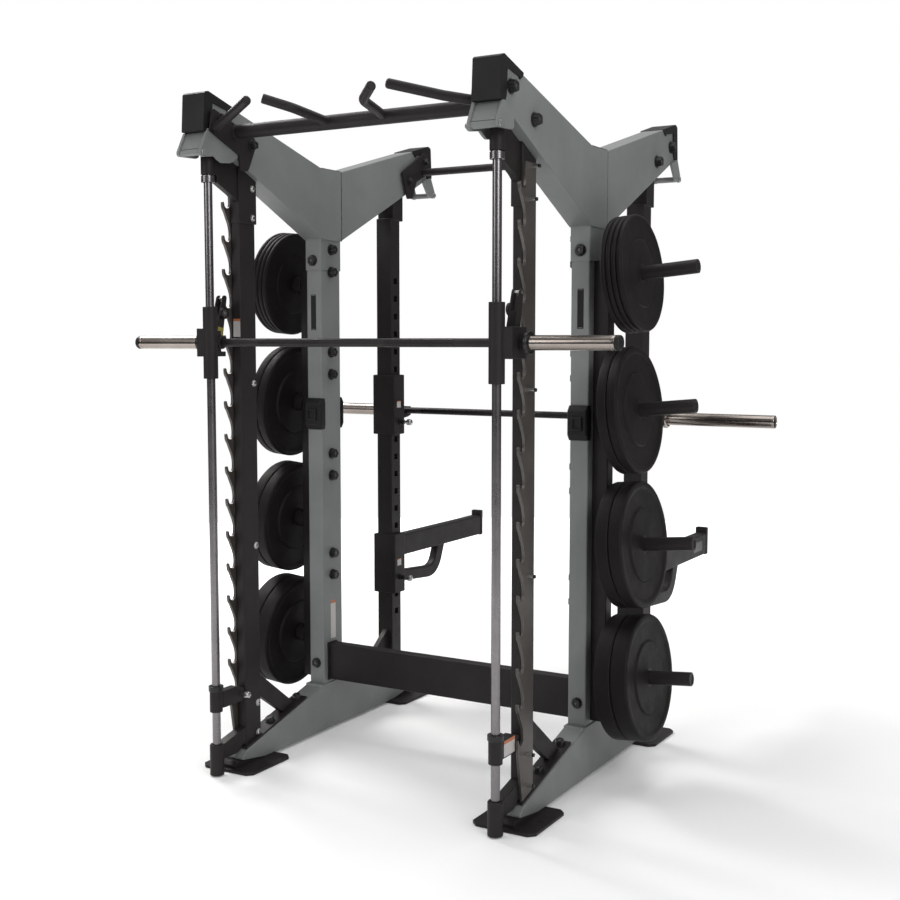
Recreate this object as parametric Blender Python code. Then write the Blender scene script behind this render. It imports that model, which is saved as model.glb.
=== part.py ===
"""Smith machine with twin guide rods, hook racks, plate storage, J-hooks and spotter arms.

Metres, +Z up. X runs across the machine, Y from the guide rods to the back,
and the machine is mirrored about X = 0.
"""
import math

import bmesh
import bpy
from mathutils import Matrix, Vector

# ---- driving dimensions ----
FIT = 0.0003              # clearance between neighbouring pieces
SIDE = 0.579              # X of the centre plane of each side frame
MIDDLE = 0.690            # Y of the centre of each side frame

COLUMN_WIDE = 0.071
COLUMN_DEEP = 0.1295
COLUMN_TOP = 1.985
COLUMN_FOOT = 0.2003
WALL = 0.004

ARM_WIDE = 0.090
ARM_END = -0.055          # Y of the front end of each head arm
VALLEY = 2.269            # Z of the low middle of the head
VALLEY_EDGE = 0.622
TOP_SLOPE = 0.2747
ARM_BELLY = (0.628, 1.9916)
ARM_CHIN = (-0.055, 2.315)
SLEEVE_FOOT = 1.873

ROD_RADIUS = 0.015
ROD_FOOT = 0.030
ROD_TOP = 2.205
ROD_COLLAR = (2.1500, 2.1735)

UPRIGHT_X = (0.5590, 0.5977)
UPRIGHT_Y = (0.1435, 0.2335)
UPRIGHT_TOP = 2.172
RACK_X = (0.5980, 0.6080)
RACK_Y = 0.2125
RACK_TOP = 2.160
TOOTH_TOP = 2.0946        # tip of the highest hook
TOOTH_PITCH = 0.1203
TOOTH_COUNT = 16
TOOTH_TIP_Y = 0.104

LEG_X = (0.539, 0.619)
LEG_FOOT = 0.0113
LEG_TIP = (0.098, 0.0335)  # nose of a leg, on the ramp of its foot
LEG_HEEL = 0.235          # Y where the nose of a leg starts to rise
LEG_SLOPE = 0.27
LEG_LOW = (0.122, 0.0630)
LEG_PLATE = 0.008         # thickness of the plate under each upright
FOOT_THICK = 0.011

REAR_X = (0.537, 0.620)
REAR_Y = (1.151, 1.191)
REAR_TOP = 2.160
HOLE_FIRST = 0.402
HOLE_PITCH = 0.0762
HOLE_COUNT = 20
HOLE_SIZE = 0.016

BAR_Y = 0.055             # axis of the Smith bar
BAR_Z = 1.5865
BAR_RADIUS = 0.0145
BAR_HALF = 0.975
COLLAR_X = (0.654, 0.670)
COLLAR_RADIUS = 0.0367
SLEEVE_RADIUS = 0.0240
CARRIAGE_Z = (1.4577, 1.7133)
CARRIAGE_RADIUS = 0.026
PIN_RADIUS = 0.006
PIN_STROKE = 0.014        # travel of each pull pin
LATCH_REST = (0.0385, 0.1590)   # latch pin from the bar axis, in Y and Z
GRIP_RADIUS = 0.0160

STOP_TOP = 0.3365
STOP_PIN = (0.127, 0.2765)

HORN_LEVELS = (1.820, 1.343, 0.864, 0.384)
HORN_TILT = math.radians(5.3)
HORN_RADIUS = 0.0245
HORN_ROOT = 0.6735
HORN_TIP = 0.990
PLATE_SEAT = 0.713
PLATE_BORE = 0.0255
STACKS = (
    # radius, plates in the stack, thickness of the stack
    (0.2050, 4, 0.078),
    (0.2250, 2, 0.074),
    (0.2250, 2, 0.098),
    (0.2250, 2, 0.124),
)

BARBELL_Y = 1.275
BARBELL_Z = 1.285
BARBELL_RADIUS = 0.014
BARBELL_HALF = 1.100


# ---- mesh tools ----
def clear_scene():
    for old in list(bpy.data.objects):
        bpy.data.objects.remove(old, do_unlink=True)


def new_object(name, mesh):
    obj = bpy.data.objects.new(name, mesh)
    bpy.context.scene.collection.objects.link(obj)
    return obj


def from_bmesh(name, bm):
    bmesh.ops.recalc_face_normals(bm, faces=bm.faces)
    mesh = bpy.data.meshes.new(name)
    bm.to_mesh(mesh)
    bm.free()
    return new_object(name, mesh)


def box(x, y, z):
    bm = bmesh.new()
    bmesh.ops.create_cube(bm, size=1.0)
    for vert in bm.verts:
        vert.co.x = x[0] + (vert.co.x + 0.5) * (x[1] - x[0])
        vert.co.y = y[0] + (vert.co.y + 0.5) * (y[1] - y[0])
        vert.co.z = z[0] + (vert.co.z + 0.5) * (z[1] - z[0])
    return from_bmesh("box", bm)


def prism(outline, low, high, axis="X"):
    """A flat outline pushed from low to high. The outline holds (Y, Z), (X, Z) or (X, Y) pairs."""
    bm = bmesh.new()
    rings = []
    for depth in (low, high):
        ring = []
        for a, b in outline:
            place = {"X": (depth, a, b), "Y": (a, depth, b), "Z": (a, b, depth)}[axis]
            ring.append(bm.verts.new(place))
        rings.append(ring)
    count = len(outline)
    bm.faces.new(rings[0])
    bm.faces.new(list(reversed(rings[1])))
    for i in range(count):
        j = (i + 1) % count
        bm.faces.new((rings[0][i], rings[1][i], rings[1][j], rings[0][j]))
    return from_bmesh("prism", bm)


def frame_about(direction):
    """Two unit vectors square to a direction."""
    direction = Vector(direction).normalized()
    helper = Vector((0, 0, 1)) if abs(direction.z) < 0.9 else Vector((0, 1, 0))
    first = direction.cross(helper).normalized()
    return first, direction.cross(first).normalized()


def lathe(profile, start, direction, segments=24):
    """A closed ring or a solid of revolution. The profile holds (along, radius) pairs."""
    axis = Vector(direction).normalized()
    first, second = frame_about(axis)
    bm = bmesh.new()
    rings = []
    for along, radius in profile:
        centre = Vector(start) + axis * along
        if radius < 1e-9:
            rings.append([bm.verts.new(centre)])
            continue
        ring = []
        for i in range(segments):
            turn = 2 * math.pi * (i + 0.5) / segments
            spoke = first * math.cos(turn) + second * math.sin(turn)
            ring.append(bm.verts.new(centre + spoke * radius))
        rings.append(ring)
    count = len(rings)
    for k in range(count):
        near, far = rings[k], rings[(k + 1) % count]
        if len(near) == 1 and len(far) == 1:
            continue
        for i in range(segments):
            j = (i + 1) % segments
            if len(near) == 1:
                bm.faces.new((near[0], far[j], far[i]))
            elif len(far) == 1:
                bm.faces.new((near[i], near[j], far[0]))
            else:
                bm.faces.new((near[i], near[j], far[j], far[i]))
    return from_bmesh("lathe", bm)


def rod(start, end, radius, segments=24):
    along = (Vector(end) - Vector(start)).length
    profile = ((0, 0), (0, radius), (along, radius), (along, 0))
    return lathe(profile, start, Vector(end) - Vector(start), segments)


def tube(start, end, outer, inner, segments=24):
    along = (Vector(end) - Vector(start)).length
    profile = ((0, inner), (0, outer), (along, outer), (along, inner))
    return lathe(profile, start, Vector(end) - Vector(start), segments)


def sweep(path, radius, segments=16):
    """A round bar along a path of points."""
    points = [Vector(p) for p in path]
    bm = bmesh.new()
    rings = []
    first = None
    for i, point in enumerate(points):
        before = points[max(i - 1, 0)]
        after = points[min(i + 1, len(points) - 1)]
        axis = (after - before).normalized()
        if first is None:
            first, second = frame_about(axis)
        else:
            first = (first - axis * first.dot(axis)).normalized()
            second = axis.cross(first).normalized()
        ring = []
        for k in range(segments):
            turn = 2 * math.pi * k / segments
            ring.append(bm.verts.new(point + (first * math.cos(turn) + second * math.sin(turn)) * radius))
        rings.append(ring)
    bm.faces.new(rings[0])
    bm.faces.new(list(reversed(rings[-1])))
    for near, far in zip(rings, rings[1:]):
        for k in range(segments):
            m = (k + 1) % segments
            bm.faces.new((near[k], far[k], far[m], near[m]))
    return from_bmesh("sweep", bm)


def bend(start, corner, end, radius, steps=5):
    """Points of a path that goes from start to end and rounds the corner between them."""
    a, b, c = Vector(start), Vector(corner), Vector(end)
    into = (b - a).normalized()
    out = (c - b).normalized()
    half = into.angle(out) / 2
    back = radius * math.tan(half)
    entry = b - into * back
    leave = b + out * back
    points = [a]
    for i in range(steps + 1):
        t = i / steps
        points.append((1 - t) ** 2 * entry + 2 * t * (1 - t) * b + t * t * leave)
    points.append(c)
    return points


def combine(base, other, operation):
    """One Boolean step. The second object is used up."""
    modifier = base.modifiers.new("step", "BOOLEAN")
    modifier.solver = "EXACT"
    modifier.operation = operation
    modifier.object = other
    graph = bpy.context.evaluated_depsgraph_get()
    result = bpy.data.meshes.new_from_object(base.evaluated_get(graph))
    base.modifiers.remove(modifier)
    base.data = result
    bpy.data.objects.remove(other, do_unlink=True)
    bm = bmesh.new()
    bm.from_mesh(result)
    bmesh.ops.remove_doubles(bm, verts=bm.verts, dist=1e-6)
    bm.to_mesh(result)
    bm.free()
    return base


def join(base, *others):
    for other in others:
        combine(base, other, "UNION")
    return base


def cut(base, *others):
    for other in others:
        combine(base, other, "DIFFERENCE")
    return base


def tidy(obj):
    """Joins points closer than a hundredth of a millimetre and drops the slivers that leaves."""
    bm = bmesh.new()
    bm.from_mesh(obj.data)
    bmesh.ops.remove_doubles(bm, verts=bm.verts, dist=1e-5)
    bmesh.ops.triangulate(bm, faces=bm.faces, ngon_method="EAR_CLIP")
    bmesh.ops.dissolve_degenerate(bm, edges=bm.edges, dist=1e-5)
    bm.to_mesh(obj.data)
    bm.free()


FINISHES = {
    "grey_paint": ((0.170, 0.192, 0.190), 0.45, 0.0),
    "dark_paint": ((0.028, 0.024, 0.024), 0.55, 0.0),
    "rack_steel": ((0.130, 0.115, 0.100), 0.45, 0.6),
    "chrome": ((0.62, 0.60, 0.60), 0.18, 1.0),
    "black_plastic": ((0.020, 0.020, 0.021), 0.50, 0.0),
    "rubber": ((0.018, 0.017, 0.017), 0.75, 0.0),
    "zinc": ((0.55, 0.55, 0.55), 0.30, 1.0),
}


def finish(obj, name, kind, origin=None):
    """Names the piece, gives it its own paint and puts its origin on its joint."""
    obj.name = name
    obj.data.name = name
    tidy(obj)
    colour, roughness, metal = FINISHES[kind]
    paint = bpy.data.materials.new(name + "_paint")
    paint.use_nodes = True
    shader = paint.node_tree.nodes["Principled BSDF"]
    shader.inputs["Base Color"].default_value = (*colour, 1.0)
    shader.inputs["Roughness"].default_value = roughness
    shader.inputs["Metallic"].default_value = metal
    paint.diffuse_color = (*colour, 1.0)
    obj.data.materials.clear()
    obj.data.materials.append(paint)
    if origin is not None:
        move = Vector(origin)
        obj.data.transform(Matrix.Translation(-move))
        obj.location = move
    obj.data.shade_smooth()
    obj.data.set_sharp_from_angle(angle=math.radians(35))
    return obj


def mirrored(obj, name):
    """The same piece for the other side of the machine."""
    mesh = obj.data.copy()
    twin = new_object(name, mesh)
    mesh.name = name
    mesh.transform(Matrix.Diagonal((-1, 1, 1, 1)))
    mesh.flip_normals()
    mesh.set_sharp_from_angle(angle=math.radians(35))
    twin.location = (-obj.location.x, obj.location.y, obj.location.z)
    paint = obj.data.materials[0].copy()
    paint.name = name + "_paint"
    mesh.materials.clear()
    mesh.materials.append(paint)
    return twin


def pair(obj, name, kind, origin=None):
    """Makes the right and the left piece from one shape built on the right."""
    right = finish(obj, name + "_R", kind, origin)
    return right, mirrored(right, name + "_L")


def flip_y(points):
    """The same outline on the rear half of the side frame."""
    return [(2 * MIDDLE - y, z) for y, z in points]


# ---- fixed frame ----
def column():
    x = (SIDE - COLUMN_WIDE / 2, SIDE + COLUMN_WIDE / 2)
    y = (MIDDLE - COLUMN_DEEP / 2, MIDDLE + COLUMN_DEEP / 2)
    shell = box(x, y, (COLUMN_FOOT, COLUMN_TOP))
    core = box(
        (x[0] + WALL, x[1] - WALL),
        (y[0] + WALL, y[1] - WALL),
        (COLUMN_FOOT - 0.01, COLUMN_TOP + 0.01),
    )
    pair(cut(shell, core), "column", "grey_paint")


def arm_top(y):
    return VALLEY + TOP_SLOPE * (VALLEY_EDGE - y)


def arm_bottom(y):
    slope = (ARM_CHIN[1] - ARM_BELLY[1]) / (ARM_CHIN[0] - ARM_BELLY[0])
    return ARM_CHIN[1] + slope * (y - ARM_CHIN[0])


def inner_ear():
    """Ear plate on the inner face of the end of a head arm, with a rounded lobe behind the rod."""
    return [
        (0.104, 2.2475),
        (0.104, 2.2640),
        (-0.030, 2.3300),
        (-0.062, 2.3300),
        (-0.095, 2.3030),
        (-0.100, 2.2400),
        (-0.094, 2.2295),
        (-0.084, 2.2265),
        (-0.024, 2.2355),
        (-0.004, 2.2240),
        (0.016, 2.2165),
        (0.060, 2.2210),
        (0.085, 2.2330),
    ]


def outer_ear():
    """Shorter ear plate on the outer face."""
    return [
        (0.006, 2.2640),
        (-0.020, 2.3300),
        (-0.062, 2.3300),
        (-0.095, 2.3030),
        (-0.101, 2.2440),
        (-0.094, 2.2340),
        (-0.030, 2.2375),
        (-0.010, 2.2460),
    ]


def top_yoke():
    half = [
        (VALLEY_EDGE, VALLEY),
        (ARM_END, arm_top(ARM_END)),
        (ARM_END, ARM_CHIN[1]),
        ARM_BELLY,
    ]
    outline = half + list(reversed(flip_y(half)))
    x = (SIDE - ARM_WIDE / 2, SIDE + ARM_WIDE / 2)
    head = prism(outline, *x)
    wall = 0.0035
    column_x = (SIDE - COLUMN_WIDE / 2, SIDE + COLUMN_WIDE / 2)
    column_y = (MIDDLE - COLUMN_DEEP / 2, MIDDLE + COLUMN_DEEP / 2)
    sleeve = box(
        (column_x[0] - wall, column_x[1] + wall),
        (column_y[0] - wall, column_y[1] + wall),
        (SLEEVE_FOOT, 2.03),
    )
    join(head, sleeve)
    pocket = box(
        (column_x[0] - FIT, column_x[1] + FIT),
        (column_y[0] - FIT, column_y[1] + FIT),
        (SLEEVE_FOOT - 0.01, COLUMN_TOP + FIT),
    )
    # the head is a folded and welded box, open inside down to the column
    core_half = [
        (VALLEY_EDGE, VALLEY - 0.004),
        (0.03, arm_top(0.03) - 0.004),
        (0.03, arm_bottom(0.03) + 0.004),
        (ARM_BELLY[0], ARM_BELLY[1] + 0.004),
    ]
    core = prism(core_half + list(reversed(flip_y(core_half))), x[0] + 0.004, x[1] - 0.004)
    channel = box((SIDE - 0.030, SIDE + 0.030), (MIDDLE - 0.055, MIDDLE + 0.055), (1.98, 2.05))
    join(core, channel)
    cut(head, join(pocket, core))
    inside = (x[0] - 0.010, x[0] + 0.001)
    outside = (x[1] - 0.001, x[1] + 0.010)
    # folded web that closes the front of the two ears
    web = [
        (-0.0800, 2.3155),
        (-0.0955, 2.3015),
        (-0.1000, 2.2460),
        (-0.0965, 2.2460),
        (-0.0920, 2.3000),
        (-0.0765, 2.3155),
    ]
    for turn in (list, flip_y):
        join(head, prism(turn(inner_ear()), *inside))
        join(head, prism(turn(outer_ear()), *outside))
        join(head, prism(turn(web), x[0] - 0.0005, x[1] + 0.0005))
    # cross pins through the ears
    for y in (-0.084, 2 * MIDDLE + 0.084):
        join(head, rod((x[0] - 0.014, y, 2.2435), (x[1] + 0.014, y, 2.2435), 0.008, 16))
    pair(head, "top_yoke", "grey_paint")


def cap(name, turn):
    """Moulded cap over the end of a head arm. The turn places its outline on the front or the rear arm."""
    top = 0.0025
    outline = [
        (-0.078, 2.3165),
        (-0.070, 2.4460),
        (-0.062, 2.4525),
        (-0.048, arm_top(-0.048) + top),
        (0.082, arm_top(0.082) + top),
        (0.056, 2.3950),
        (-0.026, 2.4180),
        (-0.032, 2.3340),
        (-0.040, 2.3165),
    ]
    arm = [
        (0.3, arm_top(0.3) + FIT),
        (ARM_END - FIT, arm_top(ARM_END) + FIT),
        (ARM_END - FIT, 2.25),
        (0.3, 2.10),
    ]
    half = ARM_WIDE / 2
    shell = prism(turn(outline), SIDE - half - 0.0045, SIDE + half + 0.0045)
    cut(shell, prism(turn(arm), SIDE - half - FIT, SIDE + half + FIT))
    # notches that clear the ears
    ear = [(-0.12, 2.20), (0.12, 2.20), (0.12, 2.331), (-0.12, 2.331)]
    cut(shell, prism(turn(ear), SIDE - half - 0.03, SIDE - half + 0.0015))
    cut(shell, prism(turn(ear), SIDE + half - 0.0015, SIDE + half + 0.03))
    pair(shell, name, "black_plastic")


def leg_top(y):
    return LEG_LOW[1] + LEG_SLOPE * (y - LEG_LOW[0])


def base_leg():
    half = [
        (0.600, COLUMN_FOOT - FIT),
        (0.600, leg_top(0.600)),
        LEG_LOW,
        (LEG_TIP[0], LEG_TIP[1] + 0.009),
        LEG_TIP,
        (LEG_HEEL, LEG_FOOT),
    ]
    leg = prism(half + list(reversed(flip_y(half))), *LEG_X)
    # folded sheet, open underneath
    core_half = [(0.590, leg_top(0.590) - 0.005), (0.140, leg_top(0.140) - 0.005), (0.250, 0.0)]
    core = prism(core_half + list(reversed(flip_y(core_half))), LEG_X[0] + 0.004, LEG_X[1] - 0.004)
    cut(leg, core)
    pair(leg, "base_leg", "grey_paint")


def chamfered(x, y, corner):
    return [
        (x[0] + corner, y[0]),
        (x[1] - corner, y[0]),
        (x[1], y[0] + corner),
        (x[1], y[1] - corner),
        (x[1] - corner, y[1]),
        (x[0] + corner, y[1]),
        (x[0], y[1] - corner),
        (x[0], y[0] + corner),
    ]


def feet():
    ramp = [
        (0.060, 0.008),
        (0.222, 0.008),
        (0.222, LEG_FOOT + 0.0018),
        (LEG_TIP[0], LEG_TIP[1] - 2 * FIT),
        (0.074, LEG_TIP[1] - 2 * FIT),
        (0.060, 0.022),
    ]
    front = prism(chamfered((0.460, 0.695), (0.042, 0.297), 0.022), 0.0, FOOT_THICK, "Z")
    join(front, prism(ramp, LEG_X[0] + 0.002, LEG_X[1] - 0.002))
    pair(front, "front_foot", "dark_paint")
    rear = prism(chamfered((0.464, 0.696), (1.100, 1.344), 0.022), 0.0, FOOT_THICK, "Z")
    join(rear, prism(flip_y(ramp), LEG_X[0] + 0.002, LEG_X[1] - 0.002))
    pair(rear, "rear_foot", "dark_paint")


def foot_plate_outline():
    """Thin sloping plate that bolts an upright to the top of a leg."""
    return [
        (0.128, leg_top(0.128) + FIT),
        (0.510, leg_top(0.510) + FIT),
        (0.510, leg_top(0.510) + FIT + LEG_PLATE),
        (0.128, leg_top(0.128) + FIT + LEG_PLATE),
    ]


def strut_outline():
    """Brace from the back of an upright down to its foot plate."""
    return [(0.190, 0.2750), (0.190, 0.3640), (0.452, 0.1630), (0.452, 0.1560), (0.384, 0.1380)]


def post_outline(y, top):
    """Side view of an upright that ends on the sloping foot plate."""
    return [
        (y[0], leg_top(y[0]) + FIT + 0.003),
        (y[1], leg_top(y[1]) + FIT + 0.003),
        (y[1], top),
        (y[0], top),
    ]


def front_upright():
    post = prism(post_outline(UPRIGHT_Y, UPRIGHT_TOP), *UPRIGHT_X)
    # saddle under the head arm
    saddle = prism(
        [
            (0.1385, 2.020),
            (0.2385, 2.020),
            (0.2385, arm_bottom(0.2385) - FIT),
            (0.1385, arm_bottom(0.1385) - FIT),
        ],
        UPRIGHT_X[0] - 0.005,
        UPRIGHT_X[1] - 0.002,
    )
    foot = prism(foot_plate_outline(), 0.546, 0.612)
    strut = prism(strut_outline(), 0.566, 0.590)
    # arm and cup that hold the top of the guide rod
    arm = prism(
        [
            (0.020, 2.1790),
            (0.020, 2.2430),
            (0.060, arm_bottom(0.060) - 0.0013),
            (0.145, arm_bottom(0.145) - 0.0013),
            (0.145, 2.0900),
            (0.105, 2.1170),
            (0.028, 2.1520),
            (0.028, 2.1790),
        ],
        0.5600,
        0.5865,
    )
    cup = rod((SIDE, 0, 2.1765), (SIDE, 0, 2.2450), 0.0245, 24)
    join(post, saddle, foot, strut, arm, cup)
    cut(post, rod((SIDE, 0, 2.15), (SIDE, 0, ROD_TOP + 0.001), ROD_RADIUS + FIT, 24))
    inner = box(
        (UPRIGHT_X[0] + WALL, UPRIGHT_X[1] - WALL),
        (UPRIGHT_Y[0] + WALL, UPRIGHT_Y[1] - WALL),
        (0.38, 2.25),
    )
    cut(post, inner)
    pair(post, "front_upright", "dark_paint")


def tooth():
    """Outline of one hook from the back of its cup up to the hook above, from its tip."""
    return [
        (-0.0030, -0.0050),
        (0.0010, 0.0000),
        (0.0050, -0.0040),
        (0.0080, -0.0140),
        (0.0140, -0.0205),
        (0.0240, -0.0215),
        (0.0335, -0.0155),
        (0.0370, -0.0040),
        (0.0360, 0.0200),
        (0.0240, 0.0520),
        (0.0080, 0.0840),
    ]


def hook_rack():
    lift = LEG_PLATE + 3 * FIT
    outline = [
        (RACK_Y, RACK_TOP),
        (RACK_Y, leg_top(RACK_Y) + lift),
        (0.136, leg_top(0.136) + lift),
        (0.122, 0.150),
        (0.1045, 0.262),
    ]
    for k in reversed(range(TOOTH_COUNT)):
        tip = TOOTH_TOP - k * TOOTH_PITCH
        for dy, dz in tooth():
            if k == 0 and dz > 0.035:
                continue
            outline.append((TOOTH_TIP_Y + dy, tip + dz))
    outline.append((0.1390, RACK_TOP))
    pair(prism(outline, *RACK_X), "hook_rack", "rack_steel")


def guide_rod():
    shaft = rod((SIDE, 0, ROD_FOOT), (SIDE, 0, ROD_TOP), ROD_RADIUS, 24)
    collar = rod((SIDE, 0, ROD_COLLAR[0]), (SIDE, 0, ROD_COLLAR[1]), 0.0240, 24)
    pair(join(shaft, collar), "guide_rod", "chrome")


def rod_socket():
    body = rod((SIDE, 0, 0.004), (SIDE, 0, 0.118), 0.026, 24)
    arm = prism(
        [
            (0.010, 0.060),
            (0.010, 0.110),
            (0.030, 0.118),
            (UPRIGHT_Y[0] - FIT, 0.146),
            (UPRIGHT_Y[0] - FIT, 0.0820),
            (0.1200, 0.0820),
            (0.1200, 0.0700),
            (0.0900, 0.060),
        ],
        0.560,
        0.597,
    )
    join(body, arm)
    cut(body, rod((SIDE, 0, ROD_FOOT - FIT), (SIDE, 0, 0.20), ROD_RADIUS + FIT, 24))
    pair(body, "rod_socket", "dark_paint")


def rear_upright():
    near = (2 * MIDDLE - REAR_Y[1], 2 * MIDDLE - REAR_Y[0])
    post = prism(flip_y(post_outline(near, REAR_TOP)), *REAR_X)
    saddle = prism(
        flip_y(
            [
                (0.168, 2.110),
                (0.229, 2.110),
                (0.229, arm_bottom(0.229) - FIT),
                (0.168, arm_bottom(0.168) - FIT),
            ]
        ),
        REAR_X[0] + 0.004,
        REAR_X[1] - 0.004,
    )
    foot = prism(flip_y(foot_plate_outline()), 0.546, 0.612)
    strut = prism(flip_y(strut_outline()), 0.566, 0.590)
    join(post, saddle, foot, strut)
    inner = box(
        (REAR_X[0] + WALL, REAR_X[1] - WALL),
        (REAR_Y[0] + WALL, REAR_Y[1] - WALL),
        (0.38, 2.25),
    )
    cut(post, inner)
    middle = (REAR_Y[0] + REAR_Y[1]) / 2
    for k in range(HOLE_COUNT):
        z = HOLE_FIRST + k * HOLE_PITCH
        hole = box(
            (REAR_X[0] - 0.01, REAR_X[0] + 0.01),
            (middle - HOLE_SIZE / 2, middle + HOLE_SIZE / 2),
            (z - HOLE_SIZE / 2, z + HOLE_SIZE / 2),
        )
        cut(post, hole)
    pair(post, "rear_upright", "dark_paint")


def lower_beam():
    half = SIDE - COLUMN_WIDE / 2 - FIT
    y = (0.655, 0.705)
    z = (0.2140, 0.3620)
    shell = box((-half, half), y, z)
    core = box((-half - 0.01, half + 0.01), (y[0] + WALL, y[1] - WALL), (z[0] + WALL, z[1] - WALL))
    cut(shell, core)
    finish(shell, "lower_beam", "dark_paint")


def pullup_bar():
    end = SIDE - ARM_WIDE / 2 - 0.010 - FIT
    plate = [
        (-0.058, 2.318),
        (-0.047, 2.388),
        (-0.035, 2.396),
        (0.184, 2.325),
        (0.194, 2.314),
        (0.195, 2.297),
        (0.152, 2.209),
        (0.142, 2.201),
        (0.104, 2.200),
        (0.0985, 2.254),
    ]
    bar = rod((-end + 0.004, 0.085, 2.332), (end - 0.004, 0.085, 2.332), 0.025, 24)
    for side in (-1, 1):
        low, high = sorted((side * end, side * (end - 0.008)))
        join(bar, prism(plate, low, high))
        outer = [(side * 0.514, -0.036, 2.329), (side * 0.430, -0.076, 2.345), (side * 0.2714, -0.1554, 2.385)]
        join(bar, sweep(outer, GRIP_RADIUS))
        inner = bend(
            (side * 0.113, 0.085, 2.332),
            (side * 0.139, -0.086, 2.357),
            (side * 0.2151, -0.1505, 2.3846),
            0.06,
        )
        join(bar, sweep(inner, GRIP_RADIUS))
    finish(bar, "pullup_bar", "dark_paint")


def rear_crossbar():
    end = SIDE - ARM_WIDE / 2 - 0.010 - FIT
    bar = rod((-end + 0.004, 1.360, 2.333), (end - 0.004, 1.360, 2.333), 0.016, 20)
    plate = [
        (1.191, 2.316),
        (1.205, 2.327),
        (1.371, 2.419),
        (1.400, 2.414),
        (1.404, 2.330),
        (1.307, 2.287),
        (1.281, 2.224),
        (1.270, 2.212),
        (1.236, 2.206),
        (1.229, 2.216),
    ]
    for side in (-1, 1):
        low, high = sorted((side * end, side * (end - 0.008)))
        join(bar, prism(plate, low, high))
    finish(bar, "rear_crossbar", "dark_paint")


def horn_axis():
    return Vector((math.cos(HORN_TILT), 0, math.sin(HORN_TILT)))


def horn_point(level, x):
    """The point of a storage horn's axis at a distance from the middle of the machine."""
    return Vector((x, MIDDLE, level + (x - 0.70) * math.tan(HORN_TILT)))


def storage_post():
    x = (SIDE + COLUMN_WIDE / 2 + FIT, HORN_ROOT)
    y = (MIDDLE - 0.0265, MIDDLE + 0.0265)
    post = box(x, y, (0.215, 1.8725))
    inner = box((x[0] + WALL, x[1] - WALL), (y[0] + WALL, y[1] - WALL), (0.20, 1.90))
    cut(post, inner)
    axis = horn_axis()
    for level in HORN_LEVELS:
        root = horn_point(level, HORN_ROOT - 0.003)
        seat = horn_point(level, PLATE_SEAT)
        tip = horn_point(level, HORN_TIP)
        long = (tip - root).length
        step = (seat - root).length - FIT
        profile = ((0, 0), (0, 0.036), (step, 0.036), (step, HORN_RADIUS))
        profile += ((long, HORN_RADIUS), (long, 0.0195), (0.030, 0.0195), (0.030, 0))
        join(post, lathe(profile, root, axis, 16))
    pair(post, "storage_post", "dark_paint")


def plate_stack(number):
    radius, count, thick = STACKS[number]
    axis = horn_axis()
    start = horn_point(HORN_LEVELS[number], PLATE_SEAT)
    each = thick / count
    groove = min(0.004, each * 0.18)
    profile = [(0.0, PLATE_BORE), (0.0, radius - 0.006)]
    for k in range(count):
        low = k * each
        high = low + each
        profile.append((low + groove, radius))
        profile.append((high - groove, radius))
        profile.append((high, radius - 0.006))
    profile.append((thick, PLATE_BORE))
    stack = lathe(profile, start, axis, 24)
    origin = tuple(start)
    pair(stack, "plates_" + str(number + 1), "rubber", origin)


# ---- Smith bar and its carriage ----
def carriage():
    low, high = CARRIAGE_Z
    body = rod((SIDE, 0, low), (SIDE, 0, high), CARRIAGE_RADIUS, 24)
    housing = box((0.557, 0.637), (-0.008, 0.092), (BAR_Z - 0.0505, BAR_Z + 0.0505))
    join(body, housing)
    cut(body, rod((SIDE, 0, low - 0.01), (SIDE, 0, high + 0.01), ROD_RADIUS + 0.0006, 24))
    cut(body, rod((0.54, BAR_Y, BAR_Z), (0.65, BAR_Y, BAR_Z), BAR_RADIUS + 0.0006, 20))
    # open slot in which the latch swings with the bar
    slot = box((0.5865, 0.6205), (0.0215, 0.100), (BAR_Z - 0.032, BAR_Z + 0.060))
    cut(body, slot)
    pair(body, "carriage", "dark_paint", (SIDE, 0, BAR_Z))


def latch():
    """Two cheeks on the bar that carry the hook pin between them."""
    x = (0.5875, 0.6195)
    pin_y = BAR_Y + LATCH_REST[0]
    pin_z = BAR_Z + LATCH_REST[1]
    hub = rod((x[0] + 0.0008, BAR_Y, BAR_Z), (x[1] - 0.0008, BAR_Y, BAR_Z), 0.028, 20)
    lean = math.atan2(LATCH_REST[0], LATCH_REST[1])
    forward = Vector((0, math.cos(lean), -math.sin(lean)))
    upward = Vector((0, math.sin(lean), math.cos(lean)))
    start = Vector((0, BAR_Y, BAR_Z))
    end = Vector((0, pin_y, pin_z))
    outline = [
        start - forward * 0.024,
        end - forward * 0.013,
        end - forward * 0.010 + upward * 0.008,
        end + upward * 0.0125,
        end + forward * 0.009 + upward * 0.0075,
        end + forward * 0.0095,
        start + forward * 0.020,
    ]
    sides = [(p.y, p.z) for p in outline]
    join(hub, prism(sides, x[0], x[0] + 0.006))
    join(hub, prism(sides, x[1] - 0.006, x[1]))
    join(hub, rod((x[0] + 0.001, pin_y, pin_z), (x[1] - 0.001, pin_y, pin_z), PIN_RADIUS, 16))
    cut(hub, rod((0.55, BAR_Y, BAR_Z), (0.66, BAR_Y, BAR_Z), BAR_RADIUS + FIT, 24))
    pair(hub, "latch", "dark_paint", (SIDE, BAR_Y, BAR_Z))


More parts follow.
